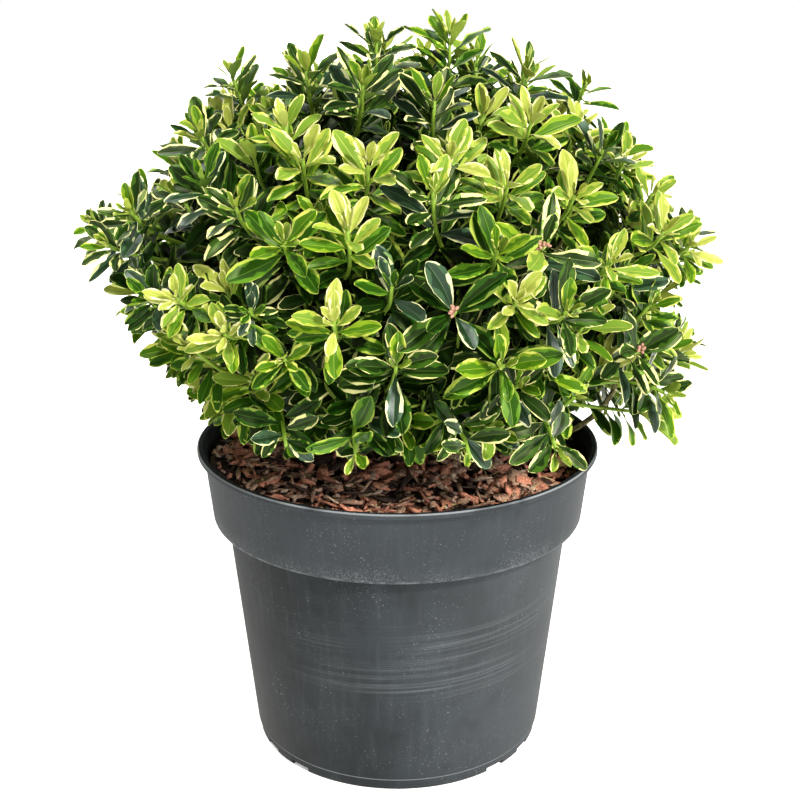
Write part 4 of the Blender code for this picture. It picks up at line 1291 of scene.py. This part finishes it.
def front_shoot(tip_pixel, foot_pixel, spray, size, rng):
    """A shoot of the photo: its tip lies where the view meets the crown just under its outline."""

    def look(pixel):
        across = (pixel[0] - PHOTO_MIDDLE) / FOCAL_PIXELS
        down = (pixel[1] - PHOTO_MIDDLE) / FOCAL_PIXELS
        return lens_turn @ Vector((across, -down, -1.0))

    nearest = (9.0, None)
    for step in range(200):
        point = Vector(CAMERA_PLACE) + look(tip_pixel) * (0.6 + 0.003 * step)
        arm = point - CROWN_MIDDLE
        share = arm.length / reach(arm.normalized())
        if share < nearest[0]:
            nearest = (share, point)
        if share < TIP_SHARE:
            break
    tip = nearest[1]
    distance = (tip - Vector(CAMERA_PLACE)).length
    shown = (look(tip_pixel) - look(foot_pixel)) * distance
    along = min(0.96, shown.length / SHOWN_SHOOT)
    toward = lens_turn @ Vector((0.0, 0.0, 1.0))
    heading = shown.normalized() * along + toward * math.sqrt(1.0 - along * along)
    turn = rng.choice((0.0, math.pi / 4.0)) + rng.gauss(0.0, 0.15)
    return Shoot(tip, heading.normalized(), spray, size, turn, "near")


def back_from_tip(controls, distances):
    """The point and the heading at each distance back from a curve's end."""
    steps = 36
    points = curve_points(controls, steps + 1)
    found = []
    travelled = 0.0
    index = steps
    for distance in distances:
        while index > 1 and travelled + (points[index] - points[index - 1]).length < distance:
            travelled += (points[index] - points[index - 1]).length
            index -= 1
        along = (points[index] - points[index - 1]).normalized()
        found.append((points[index] - along * (distance - travelled), along))
    return found


def stays_inside(root, pointing, length):
    """Whether a leaf keeps inside the crown's outline and over its ragged underside."""
    for share in (0.6, 1.0):
        point = root + pointing * length * share
        arm = point - CROWN_MIDDLE
        if arm.length > reach(arm.normalized()) + 0.003:
            return False
        ragged = noise.noise(Vector((point.x, point.y, 0.0)) * SKIRT_WAVES)
        lowest = skirt_height(point.x, point.y) + SKIRT_RAGGED * max(SKIRT_DIP, ragged)
        if point.z < lowest:
            return False
    return True


class Gathered:
    """Arrays of many small shapes on their way into one mesh."""

    def __init__(self):
        self.points = []
        self.corners = []
        self.counts = []
        self.slots = []
        self.creases = []
        self.size = 0

    def add(self, points, corners, counts, slots, creases):
        self.points.append(points)
        self.corners.append(np.asarray(corners) + self.size)
        self.counts.append(counts)
        self.slots.append(slots)
        self.creases.append(creases)
        self.size += len(points)

    def add_tube(self, path, radii, sides, old_share):
        """Adds a closed tube. The old share of it, at its foot, takes the second material."""
        points, corners, counts = bark_tube(path, radii, sides)
        slots = np.zeros(len(counts), int)
        slots[: round(len(counts) * old_share)] = 1
        marks = np.zeros(len(points), int)
        self.add(np.array(points), corners, np.array(counts), slots, marks)

    def mesh(self, name, materials):
        piece = joined_mesh(
            name,
            np.concatenate(self.points),
            np.concatenate(self.corners),
            np.concatenate(self.counts),
            np.concatenate(self.slots),
            materials,
        )
        # An edge between two points of one crease is a sharp one
        marks = np.concatenate(self.creases)
        ends = np.empty(len(piece.data.edges) * 2, np.int32)
        piece.data.edges.foreach_get("vertices", ends)
        marked = marks[ends.reshape(-1, 2)]
        sharp = (marked[:, 0] > 0) & (marked[:, 0] == marked[:, 1])
        piece.data.edges.foreach_set("use_edge_sharp", sharp)
        return piece


def add_leaf(leaves, root, pointing, heading, length, arch, kind, place, rng):
    """Sets one leaf at its root. Its upper side turns to the shoot's tip and to the light."""
    outward = (root - CROWN_MIDDLE).normalized()
    sunny_side = min(1.0, max(0.0, (SHADE_FROM - outward.y) / SHADE_RANGE))
    normal = heading * 0.45 + UP * 0.25 + outward * 0.45
    normal += SUN_SIDE * sunny_side * rng.uniform(*SUN_PULL)
    normal = (normal - pointing * normal.dot(pointing)).normalized()
    points, corners, counts, parts, creases = rng.choice(leaf_shapes[place])
    bent = points.copy()
    bent[:, 2] -= arch * points[:, 0] ** 2
    basis = np.array((pointing, normal.cross(pointing), normal)) * length
    slots = parts + BLADE_KINDS.index(kind) * len(BLADE_PARTS)
    leaves.add(bent @ basis + np.array(root), corners, counts, slots, creases)


def grow_shoot(leaves, twigs, heart, shoot, rng):
    """One shoot with its stem and its crossed pairs of leaves."""
    span = (shoot.tip - heart).length
    controls = [
        heart,
        heart.lerp(shoot.tip, 0.35),
        shoot.tip - shoot.heading * max(0.046, span * 0.45),
        shoot.tip,
    ]
    path = curve_points(controls, 9)
    if any(hides_low_stem(point, LOW_STEM_SHOOTS) for point in path):
        return
    steps = len(path) - 1
    radii = [
        SHOOT_FOOT_RADIUS + (SHOOT_TIP_RADIUS - SHOOT_FOOT_RADIUS) * ring / steps
        for ring in range(steps + 1)
    ]
    twigs.add_tube(path, radii, SHOOT_SIDES, OLD_SHARE)

    knots = back_from_tip(controls, [pair[0] * shoot.size for pair in PAIRS])
    kinds = SPRAYS[shoot.spray][1].split()
    out_from_middle = shoot.tip - CROWN_MIDDLE
    sideways = Vector((-out_from_middle.y, out_from_middle.x, 0.0)).normalized()
    for index, (pair, (knot, heading)) in enumerate(zip(PAIRS, knots)):
        _, length, spread, arch = pair
        if shoot.heading.z > UPRIGHT:
            spread = min(spread, UPRIGHT_SPREAD)
        hidden = shoot.place == "outer" and index >= len(PAIRS) - HIDDEN_PAIRS
        place = "inner" if hidden else shoot.place
        across = (sideways - heading * sideways.dot(heading)).normalized()
        turn = shoot.turn + index * math.pi / 2.0 + rng.gauss(0.0, 0.12)
        spun = Matrix.Rotation(turn, 3, heading) @ across
        for hand in (-1.0, 1.0):
            out = spun * hand
            opened = spread + SPREAD_OUTWARD * out.dot(out_from_middle.normalized())
            angle = math.radians(opened + rng.uniform(-6.0, 6.0))
            pointing = heading * math.cos(angle) + out * math.sin(angle)
            pointing += Vector([rng.uniform(-0.06, 0.06) for _ in range(3)])
            pointing.normalize()
            grown = length * shoot.size * rng.uniform(0.85, 1.15)
            root = knot + out * SHOOT_TIP_RADIUS * 0.6
            kind = kinds[index]
            thinned = shoot.place == "inner" and index % 2
            crowded = shoot.budded and index < 2
            if thinned or crowded:
                continue
            if rng.random() < 0.14:
                kind = kinds[max(0, index - 2)]
            bend = arch + rng.uniform(-0.08, 0.08)
            middle, end = root + pointing * grown * 0.6, root + pointing * grown
            if hides_low_stem(middle, LOW_STEM_LEAVES) or hides_low_stem(end, LOW_STEM_LEAVES):
                continue
            for shorter in (1.0, 0.84, 0.68):
                if stays_inside(root, pointing, grown * shorter):
                    length_now = grown * shorter
                    add_leaf(
                        leaves, root, pointing, heading, length_now, bend, kind, place, rng
                    )
                    break


def grow_buds(name, shoot, rng):
    """The cluster of buds at the end of a shoot."""
    buds = Gathered()
    for _ in range(BUDS_A_SHOOT):
        pointing = shoot.heading + Vector([rng.uniform(-0.8, 0.8) for _ in range(3)])
        pointing.normalize()
        path = [shoot.tip + pointing * distance for distance, _ in BUD_STEPS]
        buds.add_tube(path, [radius for _, radius in BUD_STEPS], BUD_SIDES, 0.0)
    return buds.mesh(name, [bud_pink])


spray_rng = random.Random(SEED)
shoots = [front_shoot(*values, spray_rng) for values in FRONT_SHOOTS.values()]
front_tips = [shoot.tip for shoot in shoots]
for name, shoot in zip(FRONT_SHOOTS, shoots):
    shoot.budded = name in BUDDED_SHOOTS
spray_names = [name for name, (share, _) in SPRAYS.items() if share > 0.0]
spray_shares = [SPRAYS[name][0] for name in spray_names]
for direction in even_directions(SHOOTS, spray_rng, 0.045):
    spray = spray_rng.choices(spray_names, spray_shares)[0]
    shoot = lattice_shoot(direction, 1.0, spray, spray_rng)
    if all((shoot.tip - tip).length > NEAR_TIP for tip in front_tips):
        shoots.append(shoot)
for count, depth in INNER_LAYERS:
    for direction in even_directions(count, spray_rng, 0.09):
        shoots.append(lattice_shoot(direction, depth, "inner", spray_rng))
for shoot in shoots:
    direction = (shoot.tip - CROWN_MIDDLE).normalized()
    nearest = max(masses, key=lambda mass: mass.direction.dot(direction))
    nearest.shoots.append(shoot)

for mass in masses:
    rng = random.Random(f"{SEED} {mass.name}")
    leaves = Gathered()
    twigs = Gathered()
    heart = CROWN_MIDDLE + mass.direction * CORE_DEPTH
    tip = mass.bough[-1]
    bough_heading = (mass.bough[-1] - mass.bough[-2]).normalized()
    stem_path = curve_points(
        [tip + bough_heading * GAP, tip + bough_heading * 0.012, heart], 7
    )
    twigs.add_tube(stem_path, [STEM_RADIUS] * len(stem_path), STEM_SIDES, 1.0)
    for shoot in mass.shoots:
        grow_shoot(leaves, twigs, heart, shoot, rng)
        if shoot.budded:
            bud_piece = grow_buds(f"flower_buds_{mass.name[8:]}", shoot, rng)
            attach(bud_piece, "root")
            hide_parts(mass.name)

    short = mass.name.replace("foliage_", "")
    twig_piece = twigs.mesh(f"twigs_{short}", [twig_green, twig_olive])
    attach(twig_piece, "root")
    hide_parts(mass.name)
    leaf_piece = leaves.mesh(f"leaves_{short}", leaf_materials)
    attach(leaf_piece, "root")
    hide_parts(mass.name)
